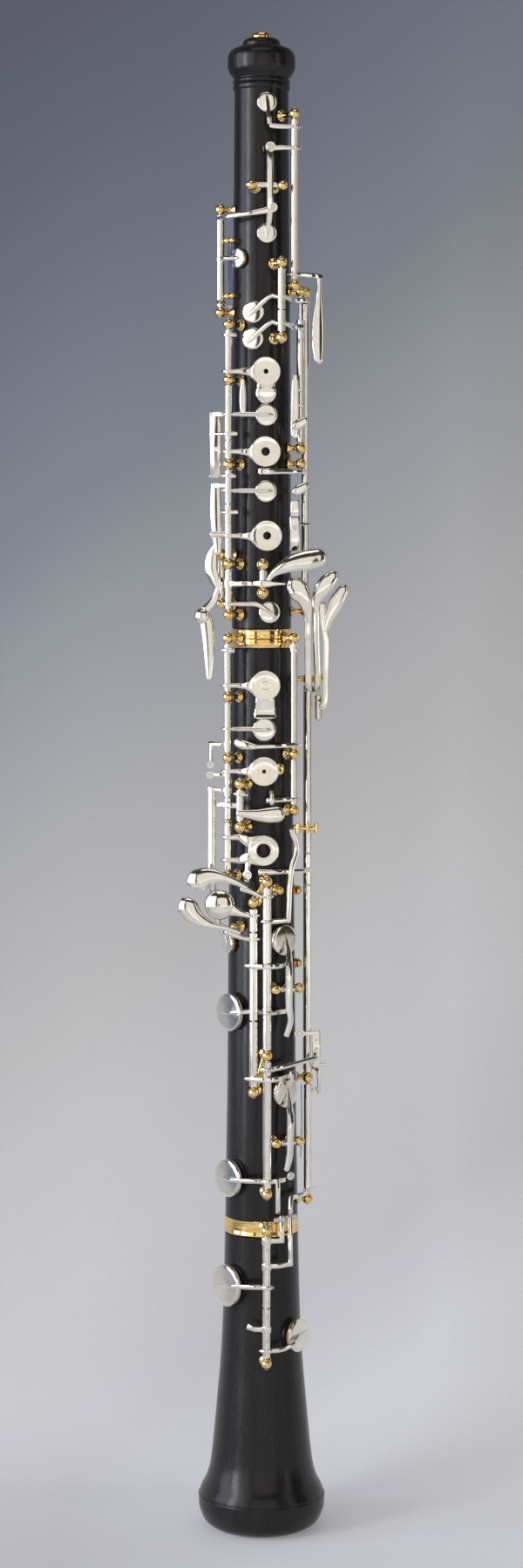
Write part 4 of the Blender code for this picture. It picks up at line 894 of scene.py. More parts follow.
def upper_stack_keys():
    outer = (-18.2, -11.6)
    key = "half_hole_key"
    b = Piece("vis_" + key)
    barrel(b, key, 467.3, 484.2)
    plate_arm(b, key, "half_hole")
    plate(b, "half_hole", 0.9)
    b.sweep([at(1.8, 13.7, 464.2), at(1.8, 13.9, 462.4), at(1.8, 14.2, 460.6), at(1.8, 14.1, 459.4)],
            [7.0, 7.0, 7.7, 7.8], 1.2, (0, -1, 0), steps=6, sides=18, square=0.75, round_tip=True)
    b.arm([on(key, 482.4), on(key, 482.4) + Vector((3.0, -1.0, 0))], [1.8, 1.6], [1.2, 0.8])
    b.done(key, key)

    key = "b_vent_key"
    b = Piece("vis_" + key)
    barrel(b, key, 441.3, 462.5)
    vent_arm(b, "b_vent", [on(key, 451.3), at(-7.0, 16.3, 451.3)])
    cup(b, "b_vent")
    b.arm([on(key, 443.6), on(key, 443.6) + Vector((3.4, -1.2, 0))], [2.0, 1.4], [1.2, 0.8], stub=8.0)
    b.touch([at(-7.3, 16.0, 450.6), at(-7.3, 16.2, 454.0), at(-7.3, 16.4, 459.0), at(-7.3, 16.3, 464.6)],
            [1.3, 2.6, 2.9, 1.6], 1.6)
    b.bar([on(key, 451.3), (outer[0], outer[1], 451.3)], 1.8, 1.5)
    b.bar([(*outer, 452.2), (*outer, 443.0), (*outer, 426.6)], [4.5, 4.5, 3.8], 1.4, (-0.2, -1, 0))
    b.screw((outer[0] + 0.4, outer[1] - 0.6, 437.6), (-0.3, -1, 0), 0.95, 0.7)
    b.done(key, key)

    key = "a_key"
    b = Piece("vis_" + key)
    barrel(b, key, 434.0, 440.9)
    plate_arm(b, key, "a_plate")
    plate(b, "a_plate", 1.6)
    b.done(key, key)

    key = "second_vent_key"
    b = Piece("vis_" + key)
    barrel(b, key, 416.2, 429.2)
    vent_arm(b, "second_vent", [on(key, 421.2), at(-7.0, 16.3, 421.2)])
    cup(b, "second_vent")
    b.arm([on(key, 427.0), on(key, 427.0) + Vector((2.8, -1.2, 0))], [2.0, 1.4], [1.2, 0.8], stub=8.4)
    b.bar([on(key, 423.2), (outer[0], outer[1], 423.2)], 1.8, 1.5)
    b.sweep([(*outer, 424.1), (*outer, 414.0), (outer[0] + 0.3, outer[1], 406.0), (outer[0] + 0.9, outer[1], 396.2)],
            [3.6, 4.3, 3.8, 2.4], 1.4, (-0.2, -1, 0))
    b.done(key, key)

    key = "g_key"
    b = Piece("vis_" + key)
    barrel(b, key, 394.7, 415.7, marks=(408.5,))
    plate_arm(b, key, "g_plate")
    plate(b, "g_plate", 1.5)
    b.arm([on(key, 412.7), on(key, 412.7) + Vector((3.6, -1.4, 0))], [1.9, 1.5], [1.2, 0.8], stub=4.2)
    end = on(key, 404.0) + Vector((-7.6, -0.6, 0))
    b.tube(on(key, 404.0) + Vector((-1.2, 0.0, 0)), end, 1.4, SILVER, 20, (3.4,))
    # Dark disc at the tube's end: painted shade inside the open end of the tube.
    b.turned([(0, 0), (0.7, 0), (0.7, 0.1), (0, 0.1)], end - Vector((0.02, 0, 0)), (-1, -0.1, 0), HOLE_SHADE, 16)
    b.done(key, key)

    key = "g_sharp_key"
    b = Piece("vis_" + key)
    barrel(b, key, 374.5, 389.8)
    b.arm([on(key, 376.4), at(-7.0, 16.4, 376.4), at(-2.4, 15.6, 376.3), at(0.8, 15.3, 375.0), cup_top("g_sharp")],
          [1.9, 1.9, 1.9, 1.8, 1.6], 1.2, cup_tip("g_sharp", at(0.8, 15.3, 375.4), 0.75))
    cup(b, "g_sharp")
    b.bar([on(key, 384.4), (-11.3, -17.6, 384.4), (-7.0, -19.6, 384.4)], [2.6, 2.2, 2.0], 1.4)
    b.turned([(0, -1.5), (1.95, -1.5), (1.95, 1.5), (0, 1.5)], on(key, 384.4), (0, 0, 1), SILVER, 24)
    b.done(key, key)


def little_finger_levers():
    key = "g_sharp_lever"
    b = Piece("vis_" + key)
    barrel(b, key, 383.2, 389.6)
    b.bar([(-9.4, -16.1, 384.4), (-5.0, -17.9, 384.4), (-2.0, -18.8, 384.4)], [1.9, 1.9, 1.8], 1.3)
    b.sweep([(-3.0, -18.6, 384.4), on(key, 384.4) + Vector((0, -0.9, 0)), (5.0, -19.2, 384.4), (9.2, -18.9, 384.4)],
            [1.7, 3.2, 1.7, 0.9], [1.2, 2.2, 1.2, 0.9])
    b.sweep([(2.4, -18.9, 385.2), (4.6, -19.2, 388.2), (8.6, -19.3, 390.9), (13.0, -19.1, 392.7),
             (18.0, -18.4, 393.8), (22.2, -17.6, 394.6)], [1.6, 2.6, 5.2, 7.0, 8.0, 7.4],
            [1.2, 1.6, 2.8, 3.4, 3.4, 2.8], (0.1, -1, 0.1), steps=6, sides=20, square=1.12, under=0.5, round_tip=True)
    b.done(key, key)

    key = "side_trill_key"
    b = Piece("vis_" + key)
    barrel(b, key, 378.9, 393.5)
    b.bar([on(key, 386.0), (-18.4, -10.4, 386.2)], 3.0, 2.2, (0, 0, 1))
    b.sweep([(-16.9, -11.0, 381.4), (-18.6, -11.1, 386.0), (-20.2, -11.1, 391.0), (-19.6, -11.0, 396.0), (-18.0, -10.8, 400.6)],
            [2.6, 4.4, 5.2, 4.6, 1.4], 1.7, (-0.3, -1, 0), steps=6, sides=18, square=1.1)
    b.sweep([(-17.0, -11.0, 384.0), (-18.0, -11.6, 380.0), (-20.2, -11.9, 376.4), (-22.6, -12.0, 374.0)],
            [2.4, 2.9, 3.0, 3.4], 1.6, (-0.3, -1, 0), square=1.1)
    b.turned([(0, -1.0), (2.2, -0.9), (3.0, -0.3), (3.15, 0.2), (2.9, 0.9), (2.2, 1.5), (1.2, 1.9), (0, 2.0)],
             (-23.6, -12.0, 371.6), (-0.15, -1, 0), SILVER, 40)
    b.touch([(-22.3, -11.9, 372.0), (-21.7, -11.9, 367.5), (-21.2, -11.9, 362.0), (-20.9, -11.8, 355.0), (-20.8, -11.7, 347.0)],
            [4.4, 5.3, 4.8, 4.0, 2.4], 2.0, (-0.15, -1, 0))
    b.done(key, key)

    key = "low_b_lever"
    b = Piece("vis_" + key)
    barrel(b, key, 276.3, 343.7)
    b.tube(on(key, 262.0), on(key, 277.5), 0.7, STEEL, 14)
    barrel(b, key, 187.0, 263.0)
    b.sweep([on(key, 341.5), (18.7, -6.2, 343.2), (18.6, -8.6, 350.0), (18.4, -11.2, 362.0), (18.4, -11.9, 371.0)],
            [2.4, 2.6, 2.6, 2.6, 2.6], 1.8, (0, -1, 0))
    b.touch([(18.4, -11.9, 369.0), (18.1, -12.4, 374.0), (17.0, -12.8, 378.4), (15.0, -12.9, 381.4), (13.8, -12.9, 383.2)],
            [2.5, 3.9, 6.6, 8.6, 8.0], 3.2, (-0.1, -1, 0.1))
    b.bar([(15.2, -4.9, 203.0), (23.2, -4.9, 203.0)], 2.0, 1.4, (0, -1, 0))
    b.bar([(22.2, -4.9, 204.0), (22.2, -4.9, 189.4)], 3.2, 1.3, (0, -1, 0))
    b.tube((20.4, -4.9, 190.2), (26.3, -4.9, 190.2), 0.85, SILVER, 16)
    for z in (200.4, 197.0, 193.4):
        b.screw((22.2, -5.3, z), (0, -1, 0), 0.75, 0.5, turn=z)
    b.turned([(0, -0.6), (1.9, -0.6), (2.0, -0.4), (2.0, 0.6), (0, 0.6)], (15.4, -5.3, 203.0), (0, -1, 0), SILVER, 28)
    b.screw((15.4, -5.8, 203.0), (0, -1, 0), 1.3, 0.7, turn=0.8)
    b.done(key, key)

    key = "d_link_key"
    b = Piece("vis_" + key)
    b.tube(on(key, 263.4), on(key, 275.9), BARREL_RADIUS + 0.05, SILVER, 24)
    b.arm([on(key, 269.5), (17.3, -8.2, 269.5), (12.0, -12.4, 269.5), (6.0, -15.1, 269.5), (-1.0, -16.1, 269.5)],
          [2.0, 1.9, 1.8, 1.9, 2.5], 1.2)
    b.turned([(0, 0), (0.9, 0), (0.9, 0.5), (0, 0.5)], at(-0.4, 15.0, 269.5), polar(0, -1, 0), CORK, 16)
    b.done(key, key)

    key = "low_b_flat_lever"
    b = Piece("vis_" + key)
    barrel(b, key, 187.0, 343.7)
    b.sweep([on(key, 342.2), (21.6, -1.6, 342.4), (22.5, -3.8, 346.0), (22.0, -5.6, 360.0), (21.6, -7.2, 376.0)],
            [2.2, 2.4, 2.6, 2.7, 2.8], 1.8, (0.3, -0.95, 0))
    b.touch([(21.6, -7.2, 373.0), (21.8, -7.5, 377.0), (23.6, -7.8, 381.4), (26.2, -7.7, 384.8), (28.2, -7.4, 387.0)],
            [2.2, 3.6, 6.0, 6.8, 5.4], 2.8, (0.2, -1, 0.1))
    b.bar([on(key, 188.4), (21.8, 0.9, 188.4), (23.2, -1.5, 187.0), (23.2, -1.6, 178.2)], 2.0, 1.3, (0.94, 0.34, 0))
    b.done(key, key)

    key = "left_f_lever"
    b = Piece("vis_" + key)
    barrel(b, key, 330.0, 339.6)
    b.bar([on(key, 337.4), (25.4, -2.6, 337.6)], 2.2, 1.4, (0, 0, 1))
    b.sweep([(23.6, -2.6, 335.0), (25.2, -2.9, 335.6), (25.8, -3.1, 340.0), (25.9, -3.5, 352.0), (25.8, -4.2, 362.0),
             (24.5, -4.7, 371.0), (24.2, -4.8, 376.4)], [2.0, 2.2, 2.4, 2.5, 2.8, 3.6, 3.4], 1.8, (0, -1, 0))
    b.touch([(25.4, -4.4, 365.0), (27.2, -4.5, 371.0), (30.0, -4.4, 377.0), (32.6, -4.1, 381.6)],
            [2.4, 4.6, 6.0, 4.8], 2.8, (0.2, -1, 0.1))
    b.done(key, key)

    key = "bell_link_lever"
    b = Piece("vis_" + key)
    barrel(b, key, 137.4, 182.1)
    b.bar([on(key, 179.3), (21.4, 1.0, 179.3), (23.8, 1.3, 179.3)], 1.8, 1.6, (0, 0, 1))
    b.sweep([(22.4, -0.6, 138.9), on(key, 138.8), (17.6, -8.8, 138.4), (13.4, -13.2, 137.9)],
            [0.7, 2.3, 2.0, 1.9], [0.8, 3.6, 1.4, 1.3])
    b.bar([(14.2, -12.6, 138.0), (11.8, -15.2, 137.8), (11.6, -16.2, 134.0), (11.6, -16.2, 129.6)], 1.9, 1.3)
    b.tube((9.9, -17.4, 130.2), (13.9, -17.2, 130.9), 1.15, STEEL, 20, (0.7, 1.3, 1.9, 2.5, 3.1))
    b.screw((13.8, -17.2, 130.9), (1, 0, 0.1), 1.0, 0.6)
    b.done(key, key)


# ------------------------------------------------------------------ keys, lower joint
def lower_stack_keys():
    outer = (-20.4, -11.6)
    key = "f_sharp_key"
    b = Piece("vis_" + key)
    barrel(b, key, 341.9, 360.3)
    plate_arm(b, key, "f_sharp_plate")
    plate(b, "f_sharp_plate")
    base, out, _ = vent_base("f_sharp_plate")
    b.turned([(1.45, 1.1), (1.75, 1.1), (1.72, 1.27), (1.6, 1.32), (1.48, 1.27)], base, out, SILVER, 36, hollow=True)
    b.sweep([at(1.4, 14.6, 340.8), at(1.4, 14.8, 338.6), at(1.4, 14.5, 336.6), at(1.4, 13.9, 334.6), at(1.4, 13.9, 332.6), at(1.4, 14.5, 331.0)],
            [6.8, 7.2, 7.6, 8.0, 8.6, 8.4], 1.0, (0, -1, 0), steps=5, sides=18, square=0.6)
    b.arm([on(key, 358.0), on(key, 358.0) + Vector((2.6, -1.0, 0))], [2.4, 2.0], [1.2, 0.8], stub=3.6)
    b.done(key, key)

    key = "third_vent_key"
    b = Piece("vis_" + key)
    barrel(b, key, 317.6, 336.9)
    vent_arm(b, "third_vent", [on(key, 326.7), at(-7.0, 16.6, 326.7)])
    cup(b, "third_vent")
    b.bar([on(key, 320.6), (outer[0], outer[1], 320.6), (outer[0], outer[1], 311.8)], 2.0, 1.5)
    for z in (312.3, 309.2):
        if z > 312:
            b.turned([(0, -0.8), (1.35, -0.8), (1.4, -0.6), (1.4, 0.5), (0, 0.5)], (outer[0], outer[1] - 1.0, z), (0, -1, 0), SILVER, 24)
            b.screw((outer[0], outer[1] - 1.4, z), (0, -1, 0), 1.05, 0.7, turn=z)
    b.done(key, key)

    key = "e_key"
    b = Piece("vis_" + key)
    barrel(b, key, 304.3, 312.7)
    plate_arm(b, key, "e_plate")
    plate(b, "e_plate", 0.7)
    b.bar([on(key, 308.3), (-20.4, -11.8, 308.3)], 2.0, 1.3)
    b.turned([(0, -0.8), (1.35, -0.8), (1.4, -0.6), (1.4, 0.5), (0, 0.5)], (-20.6, -12.2, 308.2), (0, -1, 0), SILVER, 24)
    b.screw((-20.6, -12.6, 308.2), (0, -1, 0), 1.05, 0.7, turn=2.0)
    b.done(key, key)

    key = "side_f_key"
    b = Piece("vis_" + key)
    b.tube(on(key, 299.7), on(key, 303.8), BARREL_RADIUS, SILVER, 24)
    b.turned([(0, -1.1), (1.95, -1.1), (1.95, 1.1), (0, 1.1)], on(key, 302.2), (0, 0, 1), SILVER, 24)
    b.bar([on(key, 302.0), (-21.2, -11.0, 302.4)], 1.9, 1.3)
    b.sweep([(-19.9, -11.4, 303.2), (-19.9, -11.4, 285.0), (-19.9, -11.4, 269.0), (-18.8, -10.6, 256.0),
             (-17.0, -9.4, 247.0), cup_top("side_f"), cup_tip("side_f", (-17.0, -9.4, 247.0), 0.7)],
            [3.0, 3.0, 2.9, 2.4, 2.0, 1.6, 0.5], [1.7, 1.7, 1.6, 1.4, 1.2, 1.0, 0.4], (-0.3, -1, 0))
    cup(b, "side_f")
    b.done(key, key)

    key = "d_key"
    b = Piece("vis_" + key)
    barrel(b, key, 270.5, 299.2, marks=(294.0, 289.0))
    base, out, r = vent_base("d_ring")
    mid = base + out * 0.75
    side = -polar(2.9 + 90, 1.0, 0)
    up = Vector((0, 0, 1))
    b.arm([on(key, 283.3), at(-8.6, 17.0, 283.4), mid + side * (r - 0.6) + up * 3.6, mid + up * 4.6 + side * 1.2],
          [2.4, 2.8, 4.4, 3.6], [1.2, 1.2, 1.0, 0.7])
    b.arm([on(key, 274.2), at(-8.6, 17.0, 274.2), mid + side * (r - 0.6) - up * 3.0, mid - up * 4.4 + side * 1.2],
          [2.4, 2.8, 4.4, 3.6], [1.2, 1.2, 1.0, 0.7])
    plate(b, "d_ring", 2.7, 2.7)
    b.sweep([at(-4.6, 16.0, 275.2), at(-5.4, 16.6, 272.4), at(-5.7, 17.6, 269.4), at(-5.8, 17.8, 266.0)],
            [3.4, 2.2, 2.2, 2.0], 1.3)
    b.turned([(0, -0.7), (1.75, -0.7), (1.85, -0.5), (1.85, 0.5), (0, 0.5)], at(-5.6, 18.2, 268.6), at(-5.6, 18.2, 0), SILVER, 28)
    b.screw(at(-5.6, 18.6, 268.6), at(-5.6, 18.6, 0), 1.3, 0.7, turn=0.7)
    b.arm([on(key, 290.0), on(key, 290.0) + Vector((-1.0, -2.4, 0))], [1.7, 1.0], [1.2, 0.6], stub=1.0)
    b.done(key, key)


def right_side_keys():
    key = "fork_f_key"
    b = Piece("vis_" + key)
    barrel(b, key, 319.0, 360.3)
    b.turned([(0, -1.2), (2.0, -1.2), (2.05, -1.0), (2.05, 1.0), (2.0, 1.2), (0, 1.2)], on(key, 358.6), (0, 0, 1), SILVER, 28)
    b.sweep([(16.4, -9.0, 320.2), on(key, 320.2), at(8.0, 17.2, 320.0), at(2.0, 17.0, 319.8), at(-3.0, 17.0, 319.8),
             at(-7.6, 17.3, 320.6)], [1.0, 2.3, 1.7, 1.6, 1.9, 3.4], [0.8, 3.2, 1.5, 1.5, 1.6, 1.8])
    b.touch([at(-1.6, 17.0, 319.6), at(-4.6, 17.3, 320.0), at(-7.4, 17.5, 320.6), at(-9.2, 17.6, 321.2)],
            [1.6, 3.0, 3.9, 3.6], 2.2, (-0.4, -0.9, 0.1))
    b.done(key, key)

    key = "bridge_key"
    b = Piece("vis_" + key)
    barrel(b, key, 296.4, 314.1)
    b.arm([on(key, 298.4), at(8.0, 16.7, 298.4), at(2.2, 16.5, 298.2)], [2.0, 1.8, 2.2], 1.3)
    b.bar([at(4.0, 17.1, 300.9), at(4.0, 17.1, 296.8)], 1.7, 1.6)
    b.turned([(0, 0), (0.85, 0), (0.85, 1.2), (0, 1.2)], at(3.9, 15.9, 300.9), (0, 0, 1), CORK, 14)
    b.done(key, key)

    key = "banana_key"
    b = Piece("vis_" + key)
    barrel(b, key, 290.3, 302.6)
    b.touch([on(key, 293.4) + Vector((-1.0, -0.9, 0)), (-5.6, -19.1, 293.1), (-2.0, -19.2, 292.7), (2.0, -19.2, 292.6), (6.2, -18.8, 292.9)],
            [3.0, 3.4, 4.6, 5.8, 6.2], 2.2, (0, -1, 0.05))
    b.bar([on(key, 296.4), (-13.2, -17.5, 296.4), (-17.2, -15.0, 296.4)], 2.2, 1.3)
    b.arm([on(key, 301.0), on(key, 301.0) + Vector((3.0, -0.8, 0))], [2.0, 1.8], [1.2, 0.8], stub=2.6)
    b.done(key, key)


def foot_joint_keys():
    key = "low_c_key"
    b = Piece("vis_" + key)
    barrel(b, key, 198.8, 263.7, STACK_RADIUS, marks=(246.6, 211.0, 216.2))
    b.arm([on(key, 213.6), (0.6, -17.9, 213.6), at(-3.4, 16.9, 213.6), at(-9.2, 18.3, 213.2), cup_top("c_cup")],
          [2.2, 2.0, 2.0, 1.9, 1.8], [1.4, 1.3, 1.3, 1.3, 1.2], cup_tip("c_cup", at(-9.2, 18.3, 213.2), 0.8), stub=2.0)
    cup(b, "c_cup", crown=1.6, pad=PALE)
    b.bar([on(key, 213.4), (5.8, -17.4, 213.4), at(9.9, 16.9, 213.4)], 2.0, 1.2)
    b.arm([on(key, 250.3), (7.0, -19.0, 250.3), (11.0, -16.6, 250.5)], [2.3, 2.0, 1.9], 1.3, stub=2.4)
    b.sweep([(10.7, -16.8, 249.8), (10.9, -16.9, 256.0), (11.2, -16.9, 264.0), (12.2, -16.8, 272.0), (13.9, -15.8, 277.4),
             (13.7, -15.9, 281.4), (12.3, -16.6, 285.0), (11.9, -16.8, 286.6)],
            [2.0, 2.1, 2.2, 2.2, 2.3, 2.3, 2.2, 1.8], 1.5, (0.3, -1, 0))
    b.arm([on(key, 260.2), (-3.2, -21.8, 262.0), (-8.0, -21.5, 263.6)], [1.9, 2.0, 2.2], 1.4, stub=2.8)
    b.touch([(-6.0, -21.6, 264.0), (-9.6, -21.4, 265.9), (-13.4, -21.0, 267.3), (-17.9, -20.6, 268.3), (-21.6, -20.3, 268.2), (-25.0, -20.0, 266.9)],
            [1.9, 2.6, 3.7, 5.6, 7.6, 9.2], 4.6, (-0.1, -1, 0.1))
    b.done(key, key)

    key = "c_sharp_key"
    b = Piece("vis_" + key)
    b.tube(on(key, 246.3), on(key, 255.2), STACK_RADIUS, SILVER, 24, (7.0,))
    b.tube(on(key, 209.0), on(key, 247.5), 0.7, STEEL, 14)
    barrel(b, key, 184.0, 210.1, STACK_RADIUS)
    b.arm([on(key, 252.6), (-7.4, -20.8, 253.3), (-11.0, -20.7, 254.6)], [1.9, 2.1, 2.8], 1.4, stub=2.6)
    b.sweep([(-4.6, -20.8, 252.8), (-8.2, -20.8, 253.6), (-11.2, -20.7, 254.8), (-14.0, -20.5, 256.0)],
            [1.9, 2.7, 4.8, 8.6], [1.5, 1.7, 2.1, 2.4], (0, -1, 0), square=0.9)
    b.turned([(0, -1.1), (3.5, -1.0), (5.0, -0.6), (5.9, 0.0), (6.0, 0.4), (5.6, 1.0), (4.7, 1.7), (3.4, 2.3), (1.8, 2.75), (0, 2.9)],
             (-16.7, -20.1, 257.0), (-0.08, -1, 0.03), SILVER, 64)
    # Small dark dot at the top of the touch dome: painted shade of a small hole.
    b.turned([(0, 0), (0.35, 0), (0.35, 0.05), (0, 0.05)], (-16.9, -23.02, 257.1), (-0.08, -1, 0.03), HOLE_SHADE, 14)
    b.sweep([(-6.6, -19.9, 187.1), (-3.2, -22.1, 187.1), (2.8, -23.8, 187.1), (7.0, -20.9, 187.1), (8.8, -16.6, 187.1), (12.4, -11.6, 187.2)],
            [0.9, 2.2, 2.1, 2.0, 1.9, 1.7], [1.0, 1.7, 1.4, 1.3, 1.3, 1.2])
    b.done(key, key)

    key = "e_flat_key"
    b = Piece("vis_" + key)
    b.tube(on(key, 210.7), on(key, 245.7), STACK_RADIUS, SILVER, 24, (3.0, 19.6, 24.2, 32.4))
    b.arm([on(key, 243.2), (-9.4, -20.7, 244.4), (-14.0, -20.4, 246.0)], [1.9, 2.0, 2.2], 1.4, stub=2.8)
    b.touch([(-8.8, -20.7, 245.9), (-14.5, -20.5, 247.7), (-19.4, -20.2, 248.6), (-23.8, -19.9, 250.2), (-27.2, -19.6, 252.6), (-29.2, -19.3, 255.6)],
            [2.0, 2.3, 3.0, 5.2, 7.4, 8.6], 4.4, (-0.1, -1, 0.1))
    b.sweep([(-6.6, -19.9, 232.5), (-3.2, -22.1, 232.5), (2.8, -23.8, 232.5), (7.3, -20.8, 232.5), (9.3, -15.8, 232.5)],
            [0.9, 2.2, 2.1, 2.0, 1.7], [1.0, 1.7, 1.4, 1.3, 1.2])
    b.done(key, key)

    key = "low_b_key"
    b = Piece("vis_" + key)
    barrel(b, key, 142.9, 194.0, STACK_RADIUS, marks=(149.4,))
    b.arm([on(key, 145.6), (-4.0, -20.1, 145.7), at(-9.8, 19.6, 145.3), cup_top("b_cup")], [2.2, 2.0, 1.9, 1.8],
          [1.4, 1.3, 1.3, 1.2], cup_tip("b_cup", at(-9.8, 19.6, 145.3), 0.8), stub=2.6)
    cup(b, "b_cup", crown=1.6, pad=PALE)
    b.bar([on(key, 145.4), (6.0, -18.7, 145.4), at(9.2, 18.3, 145.4)], 2.0, 1.3)
    b.bar([(6.4, -19.0, 146.0), (6.5, -19.3, 142.0), (6.5, -19.4, 132.7)], 2.0, 1.3)
    b.arm([on(key, 190.9), (8.0, -19.2, 191.5), (15.0, -13.8, 192.5), (22.2, -8.8, 193.5)], [2.4, 2.0, 1.9, 2.2], 1.3, stub=2.6)
    b.done(key, key)

    key = "e_flat_cup_lever"
    b = Piece("vis_" + key)
    centre, along = AXES[key], CROSS[key]
    b.tube(centre - along * 3.2, centre + along * 3.2, 1.25, SILVER, 20)
    b.sweep([cup_tip("e_flat", polar(36, 18.8, 236.0), 0.25), cup_top("e_flat", 0.5), polar(36, 18.8, 236.0), polar(32, 20.9, 230.5),
             polar(31.75, 20.9, 223.0), polar(31.5, 20.9, 216.0), polar(34, 20.7, 209.6), polar(29, 20.2, 203.9)],
            [0.5, 1.6, 2.8, 3.1, 3.2, 3.1, 2.6, 2.4], [0.4, 1.1, 1.3, 1.3, 1.5, 1.2, 1.2, 1.2], square=0.55)
    cup(b, "e_flat")
    b.done(key, key)

    key = "c_sharp_cup_lever"
    b = Piece("vis_" + key)
    centre, along = AXES[key], CROSS[key]
    b.tube(centre - along * 3.2, centre + along * 3.2, 1.25, SILVER, 20)
    b.bar([polar(38, 19.5, 189.2), polar(38.5, 19.4, 186.0), polar(39, 18.0, 183.2)], 1.9, 1.2)
    b.sweep([cup_tip("c_sharp", polar(37, 18.8, 174.0), 0.25), cup_top("c_sharp", 0.5), polar(37, 18.9, 175.0), polar(34.5, 20.8, 170.0),
             polar(33, 21.0, 162.0), polar(32.5, 20.9, 155.0), polar(28.5, 20.7, 149.6)],
            [0.5, 1.6, 2.8, 3.1, 3.1, 2.9, 2.2], [0.4, 1.1, 1.3, 1.4, 1.5, 1.3, 1.2], square=0.55)
    b.turned([(0, -0.9), (1.5, -0.9), (1.6, -0.7), (1.6, 0.4), (0, 0.4)], polar(33.5, 21.0, 147.3), polar(20, 1, 0), SILVER, 28)
    b.screw(polar(33.5, 21.4, 147.3), polar(20, 1, 0), 1.2, 0.7, turn=2.2)
    cup(b, "c_sharp")
    b.done(key, key)


def bell_keys():
    key = "bell_b_flat_key"
    b = Piece("vis_" + key)
    barrel(b, key, 94.8, 123.6, marks=(108.6, 114.0))
    b.arm([on(key, 103.0), (-4.5, -21.7, 103.0), at(-10.8, 20.9, 102.4), cup_top("bell_b_flat")], [2.3, 2.1, 1.9, 1.8],
          [1.4, 1.3, 1.3, 1.2], cup_tip("bell_b_flat", at(-10.8, 20.9, 102.4), 0.8), stub=3.0)
    cup(b, "bell_b_flat", crown=1.6, pad=PALE)
    b.turned([(0, -1.3), (1.95, -1.3), (2.0, -1.1), (2.0, 1.1), (1.95, 1.3), (0, 1.3)], on(key, 121.8), (0, 0, 1), SILVER, 28)
    b.turned([(0, -1.3), (1.95, -1.3), (2.0, -1.1), (2.0, 1.1), (1.95, 1.3), (0, 1.3)], on(key, 111.5), (0, 0, 1), SILVER, 28)
    b.bar([on(key, 121.8), (8.1, -21.3, 121.8), at(8.1, 22.7, 131.6)], 2.0, 1.3)
    b.bar([on(key, 111.6), (7.0, -21.6, 111.6), at(11.6, 22.0, 111.8), at(11.4, 22.0, 130.6)], 2.0, 1.3)
    b.tube((5.0, -21.4, 130.0), (9.2, -21.3, 130.5), 1.15, STEEL, 20, (0.7, 1.3, 1.9, 2.5, 3.1))
    b.screw((9.1, -21.3, 130.5), (1, 0, 0.1), 1.0, 0.6)
    b.screw((2.3, -23.7, 118.6), (0, -1, 0), 0.7, 0.4)
    b.done(key, key)

    key = "bell_vent_key"
    b = Piece("vis_" + key)
    barrel(b, key, 74.4, 94.4)
    b.bar([on(key, 86.0), (-2.6, -22.2, 86.0), (-5.4, -21.6, 86.9)], [2.2, 2.0, 2.4], 1.4)
    b.turned([(0, -1.2), (1.95, -1.2), (2.0, -1.0), (2.0, 1.0), (1.95, 1.2), (0, 1.2)], on(key, 86.0), (0, 0, 1), SILVER, 28)
    b.arm([on(key, 77.2), (8.0, -21.5, 77.5), (13.2, -18.0, 79.0), cup_top("bell_vent")], [2.2, 2.0, 1.9, 1.8],
          [1.4, 1.3, 1.3, 1.2], cup_tip("bell_vent", (13.2, -18.0, 79.0), 0.8), stub=2.8)
    cup(b, "bell_vent", crown=0.5)
    b.screw((2.3, -23.7, 91.0), (0, -1, 0), 0.7, 0.4)
    b.screw((2.3, -23.7, 81.6), (0, -1, 0), 0.7, 0.4)
    b.done(key, key)


wooden_joints()
gold_rings()
all_posts()
octave_keys()
trill_keys()
upper_stack_keys()
little_finger_levers()
lower_stack_keys()
right_side_keys()
foot_joint_keys()
bell_keys()


